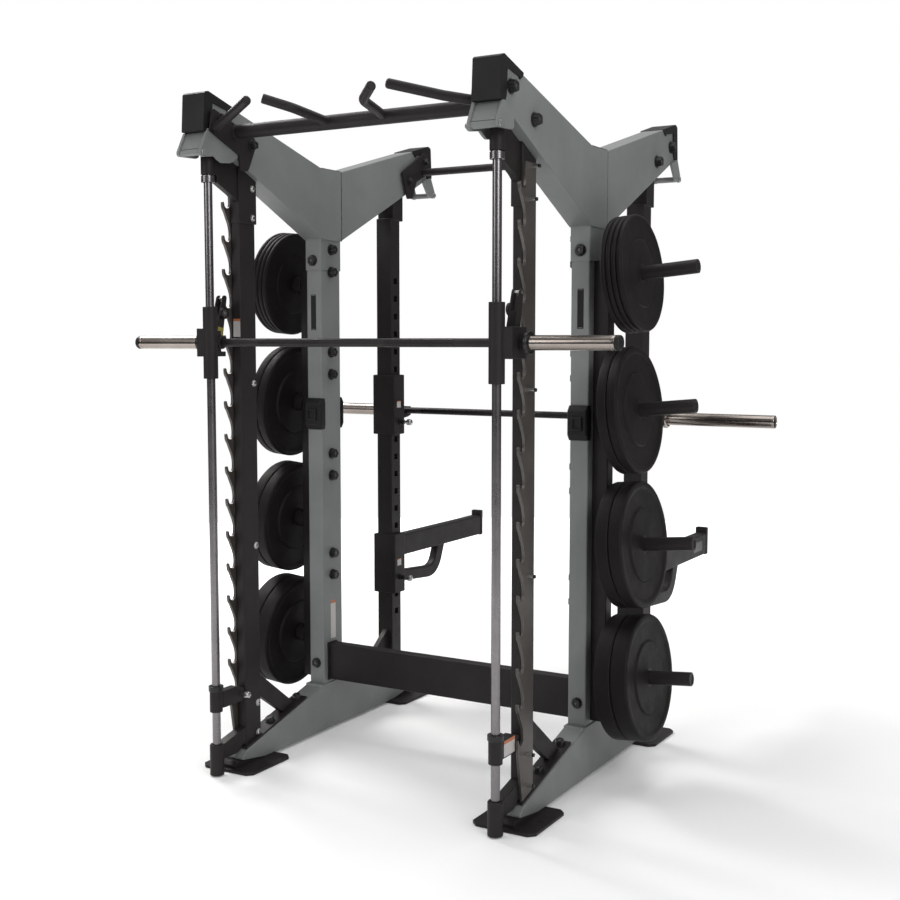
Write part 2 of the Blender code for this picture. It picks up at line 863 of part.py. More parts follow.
def smith_bar():
    shaft = rod((-BAR_HALF, BAR_Y, BAR_Z), (BAR_HALF, BAR_Y, BAR_Z), BAR_RADIUS, 20)
    for side in (-1, 1):
        join(shaft, rod((side * COLLAR_X[0], BAR_Y, BAR_Z), (side * COLLAR_X[1], BAR_Y, BAR_Z), COLLAR_RADIUS, 20))
        cap = rod((side * 0.9575, BAR_Y, BAR_Z), (side * (BAR_HALF - 0.001), BAR_Y, BAR_Z), SLEEVE_RADIUS, 20)
        join(shaft, cap)
    finish(shaft, "smith_bar", "dark_paint", (0, BAR_Y, BAR_Z))


def smith_sleeve():
    start = (COLLAR_X[1] + FIT, BAR_Y, BAR_Z)
    end = (0.9575 - FIT, BAR_Y, BAR_Z)
    ring = tube(start, end, SLEEVE_RADIUS, BAR_RADIUS + 0.0006, 24)
    pair(ring, "smith_sleeve", "chrome", (0.8137, BAR_Y, BAR_Z))


def rod_stop():
    body = rod((SIDE, 0, 0.2395), (SIDE, 0, STOP_TOP - 0.018), 0.0235, 24)
    join(body, rod((SIDE, 0, STOP_TOP - 0.020), (SIDE, 0, STOP_TOP), 0.027, 24))
    arm = prism(
        [
            (0.0190, 0.2500),
            (0.0190, 0.3120),
            (0.100, 0.3120),
            (0.139, 0.2980),
            (0.139, 0.2600),
            (0.120, 0.2500),
        ],
        0.562,
        0.5940,
    )
    join(body, arm)
    cut(body, rod((SIDE, 0, 0.20), (SIDE, 0, 0.40), ROD_RADIUS + 0.0006, 24))
    bore = rod((0.55, *STOP_PIN), (0.60, *STOP_PIN), PIN_RADIUS + 0.0005, 16)
    cut(body, bore)
    pair(body, "rod_stop", "dark_paint", (SIDE, 0, STOP_TOP))


def pull_pin(name, tip_x, face_x, y, z):
    """Plunger drawn back: the pin ends flush in its bore and the knob stands a stroke off the face."""
    head_x = face_x - PIN_STROKE - FIT
    pin = rod((tip_x, y, z), (head_x - 0.006, y, z), PIN_RADIUS, 12)
    profile = ((0, 0), (0, 0.0085), (0.005, 0.0130), (0.017, 0.0130), (0.022, 0.0095), (0.022, 0))
    join(pin, lathe(profile, (head_x, y, z), (-1, 0, 0), 16))
    pair(pin, name, "zinc", (tip_x, y, z))


# ---- rear rack attachments ----
ATTACH_X = (0.523, 0.634)
ATTACH_Y = (1.137, 1.2070)


def rear_sleeve(z):
    shell = box(ATTACH_X, ATTACH_Y, z)
    inner = box(
        (REAR_X[0] - 0.0006, REAR_X[1] + 0.0006),
        (REAR_Y[0] - 0.0006, REAR_Y[1] + 0.0006),
        (z[0] - 0.01, z[1] + 0.01),
    )
    return cut(shell, inner)


J_PIN_Z = HOLE_FIRST + 11 * HOLE_PITCH
SPOTTER_PIN_Z = HOLE_FIRST + 2 * HOLE_PITCH
HOLE_Y = (REAR_Y[0] + REAR_Y[1]) / 2


def j_hook():
    body = rear_sleeve((1.1870, 1.4440))
    seat = BARBELL_Z - BARBELL_RADIUS - FIT
    cup = [
        (1.2050, 1.2480),
        (1.2860, 1.2560),
        (1.3120, 1.2640),
        (1.3120, 1.3020),
        (1.2980, 1.3020),
        (1.2930, seat + 0.008),
        (1.2850, seat),
        (1.2500, seat),
        (1.2420, seat + 0.010),
        (1.2400, 1.3120),
        (1.2050, 1.3240),
    ]
    join(body, prism(cup, 0.552, 0.606))
    bore = rod((0.50, HOLE_Y, J_PIN_Z), (0.5372, HOLE_Y, J_PIN_Z), PIN_RADIUS + 0.0005, 16)
    cut(body, bore)
    pair(body, "j_hook", "dark_paint", (SIDE, 1.171, 1.187))


def spotter_arm():
    body = rear_sleeve((0.4870, 0.7450))
    arm = box((0.555, 0.603), (1.2050, 1.9680), (0.6380, 0.7300))
    bore = box((0.559, 0.599), (1.1800, 1.9800), (0.6420, 0.7260))
    plate = prism(chamfered((0.553, 0.605), (0.6340, 0.7560), 0.006), 1.9660, 1.9860, "Y")
    join(body, arm)
    brace = bend((0.579, 1.200, 0.548), (0.579, 1.545, 0.522), (0.579, 1.603, 0.660), 0.10)
    join(body, sweep(brace, 0.0205))
    cut(body, bore)
    join(body, plate)
    hole = rod((0.50, HOLE_Y, SPOTTER_PIN_Z), (0.5372, HOLE_Y, SPOTTER_PIN_Z), PIN_RADIUS + 0.0005, 16)
    cut(body, hole)
    pair(body, "spotter_arm", "dark_paint", (SIDE, 1.171, 0.487))


def barbell():
    reach = BARBELL_HALF - 0.004
    shaft = rod((-reach, BARBELL_Y, BARBELL_Z), (reach, BARBELL_Y, BARBELL_Z), BARBELL_RADIUS, 24)
    finish(shaft, "barbell_shaft", "dark_paint", (0, BARBELL_Y, BARBELL_Z))
    bore = BARBELL_RADIUS + 0.0006
    long = BARBELL_HALF - 0.655
    profile = ((0, bore), (0, 0.038), (0.018, 0.038), (0.018, 0.025), (long, 0.025), (long, bore))
    sleeve = lathe(profile, (0.655, BARBELL_Y, BARBELL_Z), (1, 0, 0), 24)
    pair(sleeve, "barbell_sleeve", "chrome", (0.8775, BARBELL_Y, BARBELL_Z))


def centre_on_floor():
    """Puts the origin on the floor, under the middle of the whole machine."""
    bpy.context.view_layer.update()
    low = min((obj.matrix_world @ Vector(corner)).y for obj in bpy.data.objects for corner in obj.bound_box)
    high = max((obj.matrix_world @ Vector(corner)).y for obj in bpy.data.objects for corner in obj.bound_box)
    for obj in bpy.data.objects:
        obj.location.y -= (low + high) / 2


def build():
    clear_scene()
    column()
    top_yoke()
    cap("front_cap", list)
    cap("rear_cap", flip_y)
    base_leg()
    feet()
    front_upright()
    hook_rack()
    guide_rod()
    rod_socket()
    rear_upright()
    lower_beam()
    pullup_bar()
    rear_crossbar()
    storage_post()
    for number in range(len(STACKS)):
        plate_stack(number)
    carriage()
    latch()
    smith_bar()
    smith_sleeve()
    rod_stop()
    pull_pin("stop_pin", 0.5937, 0.562, *STOP_PIN)
    j_hook()
    pull_pin("j_hook_pin", 0.5366, ATTACH_X[0], HOLE_Y, J_PIN_Z)
    spotter_arm()
    pull_pin("spotter_pin", 0.5366, ATTACH_X[0], HOLE_Y, SPOTTER_PIN_Z)
    barbell()
    centre_on_floor()


build()
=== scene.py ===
"""Smith machine: the visible pieces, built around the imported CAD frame.

Metres, +Z up. Shapes are written with Y counted from the guide rods and moved
to the row frame as they are placed. Most of them are built for the right side
and mirrored about X = 0.
"""
import math

import bmesh
import bpy
from mathutils import Matrix, Vector

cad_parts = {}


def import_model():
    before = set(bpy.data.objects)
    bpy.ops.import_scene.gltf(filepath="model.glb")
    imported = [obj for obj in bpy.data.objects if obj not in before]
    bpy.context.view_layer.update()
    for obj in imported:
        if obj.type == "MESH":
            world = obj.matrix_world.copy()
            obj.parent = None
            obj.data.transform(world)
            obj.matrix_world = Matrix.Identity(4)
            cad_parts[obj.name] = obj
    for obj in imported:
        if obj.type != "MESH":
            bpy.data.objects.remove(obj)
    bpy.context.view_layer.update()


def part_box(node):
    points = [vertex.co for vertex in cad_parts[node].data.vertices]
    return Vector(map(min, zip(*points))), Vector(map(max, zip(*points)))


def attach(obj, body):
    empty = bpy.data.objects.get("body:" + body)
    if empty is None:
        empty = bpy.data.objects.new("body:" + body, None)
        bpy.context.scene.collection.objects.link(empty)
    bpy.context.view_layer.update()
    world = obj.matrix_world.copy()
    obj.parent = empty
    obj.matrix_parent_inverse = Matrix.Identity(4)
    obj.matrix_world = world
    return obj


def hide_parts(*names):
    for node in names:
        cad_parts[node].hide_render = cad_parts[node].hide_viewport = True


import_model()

ROD_LOW, ROD_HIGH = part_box("guide_rod_R")
SIDE = (ROD_LOW.x + ROD_HIGH.x) / 2  # X of the centre plane of a side frame
ROD_Y = (ROD_LOW.y + ROD_HIGH.y) / 2  # Y of the guide rods in the row frame
MIDDLE = 0.69  # centre of a side frame, from the rods
ON_AXIS = 1e-7  # a smaller radius counts as a point on the axis


# ---- shapes ----
def oriented(bm):
    bmesh.ops.recalc_face_normals(bm, faces=bm.faces)
    return bm


def soften(bm, width, steps=3, limit=25):
    """Rounds the edges of a shell that are sharper than the limit."""
    oriented(bm)
    if width <= 0:
        return bm
    edges = [e for e in bm.edges if len(e.link_faces) == 2 and e.calc_face_angle() > math.radians(limit)]
    bmesh.ops.bevel(
        bm, geom=edges, offset=width, offset_type="OFFSET", segments=steps,
        profile=0.5, affect="EDGES", clamp_overlap=True,
    )
    return bm


def fillet(points, radius, steps=4):
    """Rounds the corners of a closed outline."""
    out = []
    count = len(points)
    for i in range(count):
        a, b, c = Vector(points[i - 1]), Vector(points[i]), Vector(points[(i + 1) % count])
        into, leave = b - a, c - b
        if into.length < 1e-7 or leave.length < 1e-7:
            continue
        angle = into.angle(leave)
        if angle < math.radians(10):
            out.append(tuple(b))
            continue
        back = min(radius * math.tan(angle / 2), 0.45 * into.length, 0.45 * leave.length)
        entry = b - into.normalized() * back
        leaving = b + leave.normalized() * back
        for k in range(steps + 1):
            t = k / steps
            out.append(tuple((1 - t) ** 2 * entry + 2 * t * (1 - t) * b + t * t * leaving))
    return out


def block(x, y, z, width=0.002, steps=3):
    bm = bmesh.new()
    bmesh.ops.create_cube(bm, size=1.0)
    for vert in bm.verts:
        vert.co.x = x[0] + (vert.co.x + 0.5) * (x[1] - x[0])
        vert.co.y = y[0] + (vert.co.y + 0.5) * (y[1] - y[0])
        vert.co.z = z[0] + (vert.co.z + 0.5) * (z[1] - z[0])
    return soften(bm, width, steps)


def loft(rings):
    """A closed shell through rings that have the same number of points."""
    bm = bmesh.new()
    loops = [[bm.verts.new(point) for point in ring] for ring in rings]
    bm.faces.new(loops[0])
    bm.faces.new(list(reversed(loops[-1])))
    for near, far in zip(loops, loops[1:]):
        for i in range(len(near)):
            j = (i + 1) % len(near)
            bm.faces.new((near[i], far[i], far[j], near[j]))
    return bm


def prism(outline, low, high, axis="X", width=0.0015, steps=3, limit=25):
    """A flat outline pushed from low to high along an axis, with softened edges."""
    rings = []
    for depth in (low, high):
        rings.append([{"X": (depth, a, b), "Y": (a, depth, b), "Z": (a, b, depth)}[axis] for a, b in outline])
    return soften(loft(rings), width, steps, limit)


def round_box(a, b, radius, steps=5):
    """Outline of a rectangle with round corners."""
    return fillet([(a[0], b[0]), (a[1], b[0]), (a[1], b[1]), (a[0], b[1])], radius, steps)


def square_to(direction):
    axis = Vector(direction).normalized()
    helper = Vector((0, 0, 1)) if abs(axis.z) < 0.9 else Vector((0, 1, 0))
    first = axis.cross(helper).normalized()
    return axis, first, axis.cross(first).normalized()


def lathe(profile, start, direction, segments=48, corner=0.0, lobes=0, depth=0.0):
    """A turned shape. The profile holds (along, radius) pairs and closes on itself or on the axis.

    With lobes, the radius rises and falls around the axis by the depth.
    """
    axis, first, second = square_to(direction)
    if corner > 0:
        rounded = fillet(list(profile), corner, 3)
        if min(radius for along, radius in profile) < ON_AXIS:
            # the two ends on the axis stay where they are
            body = [p for p in rounded if p[1] > 2e-4]
            rounded = [(profile[0][0], 0.0), *body, (profile[-1][0], 0.0)]
        profile = rounded
    bm = bmesh.new()
    rings = []
    for along, radius in profile:
        centre = Vector(start) + axis * along
        if radius < ON_AXIS:
            rings.append([bm.verts.new(centre)])
            continue
        ring = []
        for i in range(segments):
            turn = 2 * math.pi * (i + 0.5) / segments
            reach = radius * (1 + depth * math.cos(lobes * turn)) if lobes else radius
            ring.append(bm.verts.new(centre + (first * math.cos(turn) + second * math.sin(turn)) * reach))
        rings.append(ring)
    for k in range(len(rings)):
        near, far = rings[k], rings[(k + 1) % len(rings)]
        if len(near) == 1 and len(far) == 1:
            continue
        for i in range(segments):
            j = (i + 1) % segments
            if len(near) == 1:
                bm.faces.new((near[0], far[j], far[i]))
            elif len(far) == 1:
                bm.faces.new((near[i], near[j], far[0]))
            else:
                bm.faces.new((near[i], near[j], far[j], far[i]))
    return oriented(bm)


def disc(centre, direction, low, high, radius, segments=48, corner=0.0):
    """A plain cylinder between two distances along a direction."""
    profile = ((low, 0), (low, radius), (high, radius), (high, 0))
    return lathe(profile, centre, direction, segments, corner)


def tube(centre, direction, low, high, inner, outer, segments=48, corner=0.0):
    """A plain pipe or ring between two distances along a direction."""
    profile = ((low, inner), (low, outer), (high, outer), (high, inner))
    return lathe(profile, centre, direction, segments, corner)


def rod(start, end, radius, segments=48, corner=0.001):
    """A plain cylinder from one point to another."""
    along = Vector(end) - Vector(start)
    return disc(start, along, 0, along.length, radius, segments, corner)


def sweep(path, radius, segments=32, crown=0.006):
    """A round bar along a path, with rounded ends."""
    points = [Vector(p) for p in path]
    for index, neighbour in ((0, 1), (-1, -2)):
        points[index] = points[index] + (points[neighbour] - points[index]).normalized() * crown
    rings = []
    first = None
    for i, point in enumerate(points):
        before = points[max(i - 1, 0)]
        after = points[min(i + 1, len(points) - 1)]
        axis = (after - before).normalized()
        if first is None:
            axis, first, second = square_to(axis)
        else:
            first = (first - axis * first.dot(axis)).normalized()
            second = axis.cross(first).normalized()
        stations = [(0.0, radius)]
        if i in (0, len(points) - 1):
            quarter = (0, math.pi / 6, math.pi / 3, math.pi / 2)
            stations = [(crown * math.sin(a), radius - crown * (1 - math.cos(a))) for a in quarter]
            if i == 0:
                stations = [(-along, reach) for along, reach in reversed(stations)]
        for along, reach in stations:
            ring = []
            for k in range(segments):
                turn = 2 * math.pi * k / segments
                spoke = first * math.cos(turn) + second * math.sin(turn)
                ring.append(point + axis * along + spoke * reach)
            rings.append(ring)
    return oriented(loft(rings))


def bend(start, corner, end, radius, steps=8):
    """Points of a path that rounds the corner between its two ends."""
    a, b, c = Vector(start), Vector(corner), Vector(end)
    into, out = (b - a).normalized(), (c - b).normalized()
    back = radius * math.tan(into.angle(out) / 2)
    entry, leave = b - into * back, b + out * back
    points = [a]
    for i in range(steps + 1):
        t = i / steps
        points.append((1 - t) ** 2 * entry + 2 * t * (1 - t) * b + t * t * leave)
    points.append(c)
    return points


def flowing(points, steps=3):
    """A smooth open curve through points (Catmull-Rom)."""
    out = []
    last = len(points) - 1
    for i in range(last):
        p0, p1 = Vector(points[max(i - 1, 0)]), Vector(points[i])
        p2, p3 = Vector(points[i + 1]), Vector(points[min(i + 2, last)])
        for k in range(steps):
            t = k / steps
            out.append(tuple(0.5 * (
                2 * p1 + (p2 - p0) * t + (2 * p0 - 5 * p1 + 4 * p2 - p3) * t ** 2
                + (3 * p1 - p0 - 3 * p2 + p3) * t ** 3
            )))
    out.append(tuple(points[last]))
    return out


def carve(shell, *cutters):
    """Cuts other shells out of a shell."""
    objects = []
    for bm in (shell, *cutters):
        mesh = bpy.data.meshes.new("step")
        bm.to_mesh(mesh)
        bm.free()
        obj = bpy.data.objects.new("step", mesh)
        bpy.context.scene.collection.objects.link(obj)
        objects.append(obj)
    base = objects[0]
    for other in objects[1:]:
        modifier = base.modifiers.new("cut", "BOOLEAN")
        modifier.solver = "EXACT"
        modifier.operation = "DIFFERENCE"
        modifier.object = other
    graph = bpy.context.evaluated_depsgraph_get()
    result = bpy.data.meshes.new_from_object(base.evaluated_get(graph))
    out = bmesh.new()
    out.from_mesh(result)
    for obj in objects:
        mesh = obj.data
        bpy.data.objects.remove(obj, do_unlink=True)
        bpy.data.meshes.remove(mesh)
    bpy.data.meshes.remove(result)
    return out


def rear(points):
    """The same outline on the rear half of a side frame."""
    return [(2 * MIDDLE - y, z) for y, z in points]


# ---- materials ----
def graph_of(name):
    """A new material with its node tree and its shader."""
    material = bpy.data.materials.new(name)
    material.use_nodes = True
    tree = material.node_tree
    shader = tree.nodes["Principled BSDF"]
    return material, tree, shader


def add(tree, kind, inputs=None, **settings):
    """A new node. An input gets a link where its value is an output, else the plain value."""
    node = tree.nodes.new(kind)
    for key, value in settings.items():
        setattr(node, key, value)
    for key, value in (inputs or {}).items():
        if hasattr(value, "links"):
            tree.links.new(value, node.inputs[key])
        else:
            node.inputs[key].default_value = value
    return node


def noise(tree, scale, detail=3.0, rough=0.55, stretch=(1, 1, 1)):
    """Cloudy values between 0 and 1, fixed to the piece."""
    coords = add(tree, "ShaderNodeTexCoord").outputs["Object"]
    if stretch != (1, 1, 1):
        coords = add(tree, "ShaderNodeMapping", {"Vector": coords, "Scale": stretch}).outputs["Vector"]
    cloud = add(tree, "ShaderNodeTexNoise", {
        "Vector": coords, "Scale": scale, "Detail": detail, "Roughness": rough,
    })
    return cloud.outputs["Fac"]


def spread(tree, value, low, high, start=0.3, end=0.7):
    """Maps the middle of a noise to a range."""
    node = add(tree, "ShaderNodeMapRange", {
        "Value": value, "From Min": start, "From Max": end, "To Min": low, "To Max": high,
    })
    return node.outputs["Result"]


def blend(tree, factor, a, b):
    """Colour a where the factor is 0, and colour b where it is 1."""
    node = add(tree, "ShaderNodeMix", data_type="RGBA")
    for key, value in ((0, factor), (6, a), (7, b)):
        if hasattr(value, "links"):
            tree.links.new(value, node.inputs[key])
        else:
            node.inputs[key].default_value = (*value, 1.0) if key else value
    return node.outputs[2]


def edge_mask(tree, radius, low=0.02, high=0.14):
    """Where the surface turns: high on edges and corners."""
    bevel = add(tree, "ShaderNodeBevel", {"Radius": radius}, samples=6)
    normal = add(tree, "ShaderNodeNewGeometry").outputs["Normal"]
    dot = add(tree, "ShaderNodeVectorMath", operation="DOT_PRODUCT")
    tree.links.new(bevel.outputs["Normal"], dot.inputs[0])
    tree.links.new(normal, dot.inputs[1])
    turned = add(tree, "ShaderNodeMath", {0: 1.0, 1: dot.outputs["Value"]}, operation="SUBTRACT")
    return spread(tree, turned.outputs["Value"], 0.0, 1.0, low, high)


def times(tree, a, b):
    return add(tree, "ShaderNodeMath", {0: a, 1: b}, operation="MULTIPLY").outputs["Value"]


def bumped(tree, shader, height, strength, distance):
    bump = add(tree, "ShaderNodeBump", {"Height": height, "Strength": strength, "Distance": distance})
    tree.links.new(bump.outputs["Normal"], shader.inputs["Normal"])


def coated(name, dark, light, rough, grain, grain_scale, wear_and_highlight, wear_and_highlight_share=0.5, metal=0.0, specular=0.5):
    """Powder coat or moulded plastic: mottled colour, fine pebbled grain, and lighter edges that are partly
    wear and partly a painted highlight.
    """
    material, tree, shader = graph_of(name)
    cloud = noise(tree, 4.5, 6.0, 0.6)
    colour = blend(tree, spread(tree, cloud, 0.0, 1.0, 0.32, 0.68), dark, light)
    specks = noise(tree, 260.0, 2.0, 0.6)
    colour = blend(tree, spread(tree, specks, 0.0, 0.22, 0.55, 0.8), colour, light)
    # lighter edges broken up by a noise: partly wear, partly a painted highlight along every edge
    scuffs_and_sheen = spread(tree, noise(tree, 38.0, 8.0, 0.7), 0.0, 1.0, 0.42, 0.62)
    worn_and_highlit_edges = times(tree, edge_mask(tree, 0.0022), scuffs_and_sheen)
    colour = blend(tree, times(tree, worn_and_highlit_edges, wear_and_highlight_share), colour, wear_and_highlight)
    tree.links.new(colour, shader.inputs["Base Color"])
    patches = noise(tree, 11.0, 7.0, 0.65)
    tree.links.new(spread(tree, patches, rough[0], rough[1]), shader.inputs["Roughness"])
    pebbles = noise(tree, grain_scale, 3.0, 0.5)
    bumped(tree, shader, pebbles, grain, 0.0006)
    shader.inputs["Metallic"].default_value = metal
    shader.inputs["Specular IOR Level"].default_value = specular
    return material


def polished(name, dark, light, rough, turned, bump=0.06):
    """Chrome or zinc: turning marks along one axis, faint stains and smudges."""
    material, tree, shader = graph_of(name)
    marks = noise(tree, 1.0, 3.0, 0.6, turned)
    stains = noise(tree, 7.0, 7.0, 0.62)
    colour = blend(tree, spread(tree, stains, 0.0, 1.0, 0.35, 0.68), dark, light)
    colour = blend(tree, spread(tree, marks, 0.0, 0.35, 0.4, 0.72), colour, dark)
    tree.links.new(colour, shader.inputs["Base Color"])
    smudge = spread(tree, noise(tree, 16.0, 6.0, 0.7), rough[0], rough[1])
    tree.links.new(smudge, shader.inputs["Roughness"])
    bumped(tree, shader, marks, bump, 0.0003)
    shader.inputs["Metallic"].default_value = 1.0
    return material


def knurled(name, dark, light, rough, pitch=620.0):
    """Two crossed sets of fine grooves over a dark metal."""
    material, tree, shader = graph_of(name)
    coords = add(tree, "ShaderNodeTexCoord").outputs["Object"]
    heights = []
    for turn in (0.62, -0.62):
        mapped = add(tree, "ShaderNodeMapping", {"Vector": coords, "Rotation": (0, turn, turn)})
        wave = add(tree, "ShaderNodeTexWave", {
            "Vector": mapped.outputs["Vector"], "Scale": pitch / 6.28, "Distortion": 0.4,
        })
        heights.append(wave.outputs["Fac"])
    both = times(tree, heights[0], heights[1])
    colour = blend(tree, spread(tree, both, 0.0, 1.0, 0.1, 0.8), dark, light)
    tree.links.new(colour, shader.inputs["Base Color"])
    tree.links.new(spread(tree, noise(tree, 20.0, 6.0, 0.6), rough[0], rough[1]), shader.inputs["Roughness"])
    bumped(tree, shader, both, 0.45, 0.0006)
    shader.inputs["Metallic"].default_value = 0.7
    return material


# Coated: name, darkest and lightest colour, roughness, depth and scale of the grain,
# colour and share of the lighter edges (partly wear, partly painted highlight), metal, specular.
# Polished: name, darkest and lightest colour, roughness, stretch and depth of the marks.
FINISH = {
    "grey": coated("grey_powder", (0.158, 0.166, 0.163), (0.19, 0.199, 0.195), (0.42, 0.54),
                   0.14, 1300.0, (0.4, 0.41, 0.4), 0.4, 0.0, 0.4),
    "dark": coated("dark_powder", (0.0108, 0.0088, 0.0085), (0.0162, 0.0134, 0.0131), (0.44, 0.58),
                   0.34, 950.0, (0.1, 0.09, 0.09), 0.35, 0.0, 0.26),
    "rack": coated("blackened_steel", (0.07, 0.062, 0.057), (0.105, 0.094, 0.087), (0.32, 0.46),
                   0.12, 700.0, (0.42, 0.4, 0.38), 0.9, 0.55),
    "plastic": coated("moulded_plastic", (0.0068, 0.0062, 0.0059), (0.0104, 0.0097, 0.0093), (0.46, 0.6),
                      0.3, 1500.0, (0.04, 0.039, 0.039), 0.4, 0.0, 0.24),
    "gloss": coated("glossy_nylon", (0.006, 0.0058, 0.006), (0.0095, 0.0092, 0.0095), (0.24, 0.38),
                    0.1, 1600.0, (0.04, 0.04, 0.04), 0.4, 0.0, 0.4),
    "rubber": coated("plate_rubber", (0.0052, 0.0041, 0.0038), (0.009, 0.0073, 0.007), (0.52, 0.7),
                     0.42, 620.0, (0.028, 0.025, 0.024), 0.5, 0.0, 0.18),
    "chrome_z": polished("rod_chrome", (0.185, 0.174, 0.178), (0.235, 0.222, 0.228), (0.25, 0.32),
                         (240, 240, 2), 0.006),
    "chrome_x": polished("sleeve_chrome", (0.25, 0.216, 0.196), (0.345, 0.308, 0.284), (0.17, 0.23),
                         (2, 240, 240), 0.006),
    "zinc": polished("bright_zinc", (0.36, 0.36, 0.35), (0.58, 0.58, 0.57), (0.24, 0.4), (60, 60, 60)),
    "knurl": knurled("knurled_black", (0.007, 0.006, 0.006), (0.04, 0.036, 0.036), (0.32, 0.46)),
    "label": coated("pale_label", (0.42, 0.4, 0.385), (0.52, 0.5, 0.485), (0.35, 0.5),
                    0.03, 300.0, (0.3, 0.3, 0.3), 0.2),
    "orange": coated("orange_band", (0.36, 0.11, 0.04), (0.45, 0.15, 0.055), (0.35, 0.5),
                     0.03, 300.0, (0.3, 0.2, 0.1), 0.2),
    "amber": coated("amber_band", (0.2, 0.17, 0.022), (0.29, 0.25, 0.045), (0.35, 0.5),
                    0.03, 300.0, (0.3, 0.2, 0.1), 0.2),
}


# ---- pieces ----
class Piece:
    """Shells that form one rigid piece, each in its own finish."""

    def __init__(self):
        self.bm = bmesh.new()
        self.finishes = []

    def add(self, finish, *shells):
        if finish not in self.finishes:
            self.finishes.append(finish)
        index = self.finishes.index(finish)
        for shell in shells:
            for face in shell.faces:
                face.material_index = index
            step = bpy.data.meshes.new("step")
            shell.to_mesh(step)
            shell.free()
            self.bm.from_mesh(step)
            bpy.data.meshes.remove(step)

    def put(self, name, mesh, body, nodes):
        """Places a mesh as a piece that rides a body and stands for CAD nodes."""
        obj = bpy.data.objects.new(name, mesh)
        bpy.context.scene.collection.objects.link(obj)
        for finish in self.finishes:
            mesh.materials.append(FINISH[finish])
        mesh.shade_smooth()
        mesh.set_sharp_from_angle(angle=math.radians(42))
        weighted = obj.modifiers.new("flat_faces", "WEIGHTED_NORMAL")
        weighted.keep_sharp = True
        weighted.weight = 60
        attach(obj, body)
        if nodes:
            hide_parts(*nodes)

    def mesh(self):
        """The shells as one mesh, moved to the row frame."""
        mesh = bpy.data.meshes.new("piece")
        self.bm.to_mesh(mesh)
        mesh.transform(Matrix.Translation((0, ROD_Y, 0)))
        return mesh

    def single(self, name, body, slot, *nodes):
        """Places the piece once."""
        mesh = self.mesh()
        self.bm.free()
        return self.put(name, mesh, body, nodes)

    def pair(self, name, body, slot, *nodes):
        """Places the piece on the right, and its mirror image on the left.

        A body or node name that holds {} gets the letter of the side.
        """
        right = self.mesh()
        left = self.mesh()
        self.bm.free()
        left.transform(Matrix.Diagonal((-1, 1, 1, 1)))
        left.flip_normals()
        for mesh, side in ((right, "R"), (left, "L")):
            self.put(name + "_" + side, mesh, body.format(side), [n + "_" + side for n in nodes])


# ---- small hardware ----
def cap_bolt(piece, centre, direction, size=1.0, tall=0.023):
    """Washer, flared and lobed plastic bolt cover, and the steel end of the bolt in it."""
    flare = (
        (0.003, 0), (0.003, 0.0205), (0.007, 0.02), (0.45 * tall + 0.003, 0.0186),
        (tall, 0.0176), (tall, 0.0098), (tall - 0.003, 0.0092), (tall - 0.003, 0),
    )
    cover = [(along, radius * size) for along, radius in flare]
    piece.add("gloss", disc(centre, direction, 0, 0.0036, 0.024 * size, 40, 0.0012))
    piece.add("gloss", lathe(cover, centre, direction, 60, 0.0014, 5, 0.085))
    piece.add("rack", disc(centre, direction, tall - 0.008, tall - 0.0012, 0.0056 * size, 24, 0.001))


def socket_bolt(piece, centre, direction):
    """Washer and button-head bolt with a hexagon socket."""
    radius = 0.0105
    head = (
        (0, 0), (0, radius), (0.0022, radius), (0.0046, radius * 0.8), (0.0056, radius * 0.52),
        (0.0056, radius * 0.42), (0.003, radius * 0.4), (0.003, 0),
    )
    piece.add("zinc", disc(centre, direction, 0, 0.0014, radius * 1.25, 36, 0.0004))
    lifted = Vector(centre) + Vector(direction).normalized() * 0.0012
    piece.add("zinc", lathe(head, lifted, direction, 36))
    piece.add("plastic", disc(lifted, direction, 0.003, 0.0034, radius * 0.37, 6))


def side_label(piece, face, y, z, lift=0.0006):
    """Blank label with an orange band along its top, on a face that looks to X = 0."""
    low, split, high = z
    piece.add("label", block((face - lift, face + 0.001), y, (low, split), 0.0002, 1))
    piece.add("orange", block((face - lift - 0.0002, face + 0.001), y, (split, high), 0.0002, 1))


# ---- directions and dimensions shared by several pieces ----
UP, FORWARD, INWARD, OUTWARD = (0, 0, 1), (0, -1, 0), (-1, 0, 0), (1, 0, 0)
ARM_WIDE = 0.09  # box section of the yoke arms
ARM_END = -0.055
ARM_SLOPE = 0.2747
VALLEY = 2.269  # height of the valley of the yoke, and where its front ends
VALLEY_EDGE = 0.622
ARM_BELLY = (0.628, 1.9916)  # lower corners of the front arm
ARM_CHIN = (ARM_END, 2.315)
EAR = 0.01  # how far the ear plates stand out of the arm
TIE_END = SIDE - ARM_WIDE / 2 - EAR - 0.0003  # X where the cross tubes end, against the ear plates
LEG_SLOPE = 0.27
COLUMN_WIDE = 0.071
COLUMN_DEEP = 0.1295
COLUMN_FRONT = MIDDLE - COLUMN_DEEP / 2
BUMPER_DEEP = 0.02
SLEEVE_FOOT = 1.873
SLEEVE_WALL = 0.0035
BAR_Y = 0.055  # axis of the smith bar
BAR_Z = 1.5865
BARBELL_Y = 1.275  # axis of the free barbell
BARBELL_Z = 1.285
BOLT_Y = 0.216  # row of bolts on the inner face of the front uprights
HOOKS = 16
HOOK_PITCH = 0.1203
HOOK_TOP = 2.0946
REAR_X = (0.542, 0.616)
REAR_Y = (1.1345, 1.2075)
HOLES = 20
HOLE_Y = (REAR_Y[0] + REAR_Y[1]) / 2
HOLE_FIRST = 0.402
HOLE_PITCH = 0.0762
J_HOOK_PIN = HOLE_FIRST + 11 * HOLE_PITCH  # heights of the pull pins of the rear rack
SPOTTER_PIN = HOLE_FIRST + 2 * HOLE_PITCH
PIN_BORE = 0.0066
ATTACH_X = (0.523, 0.634)  # sleeves of the rear attachments
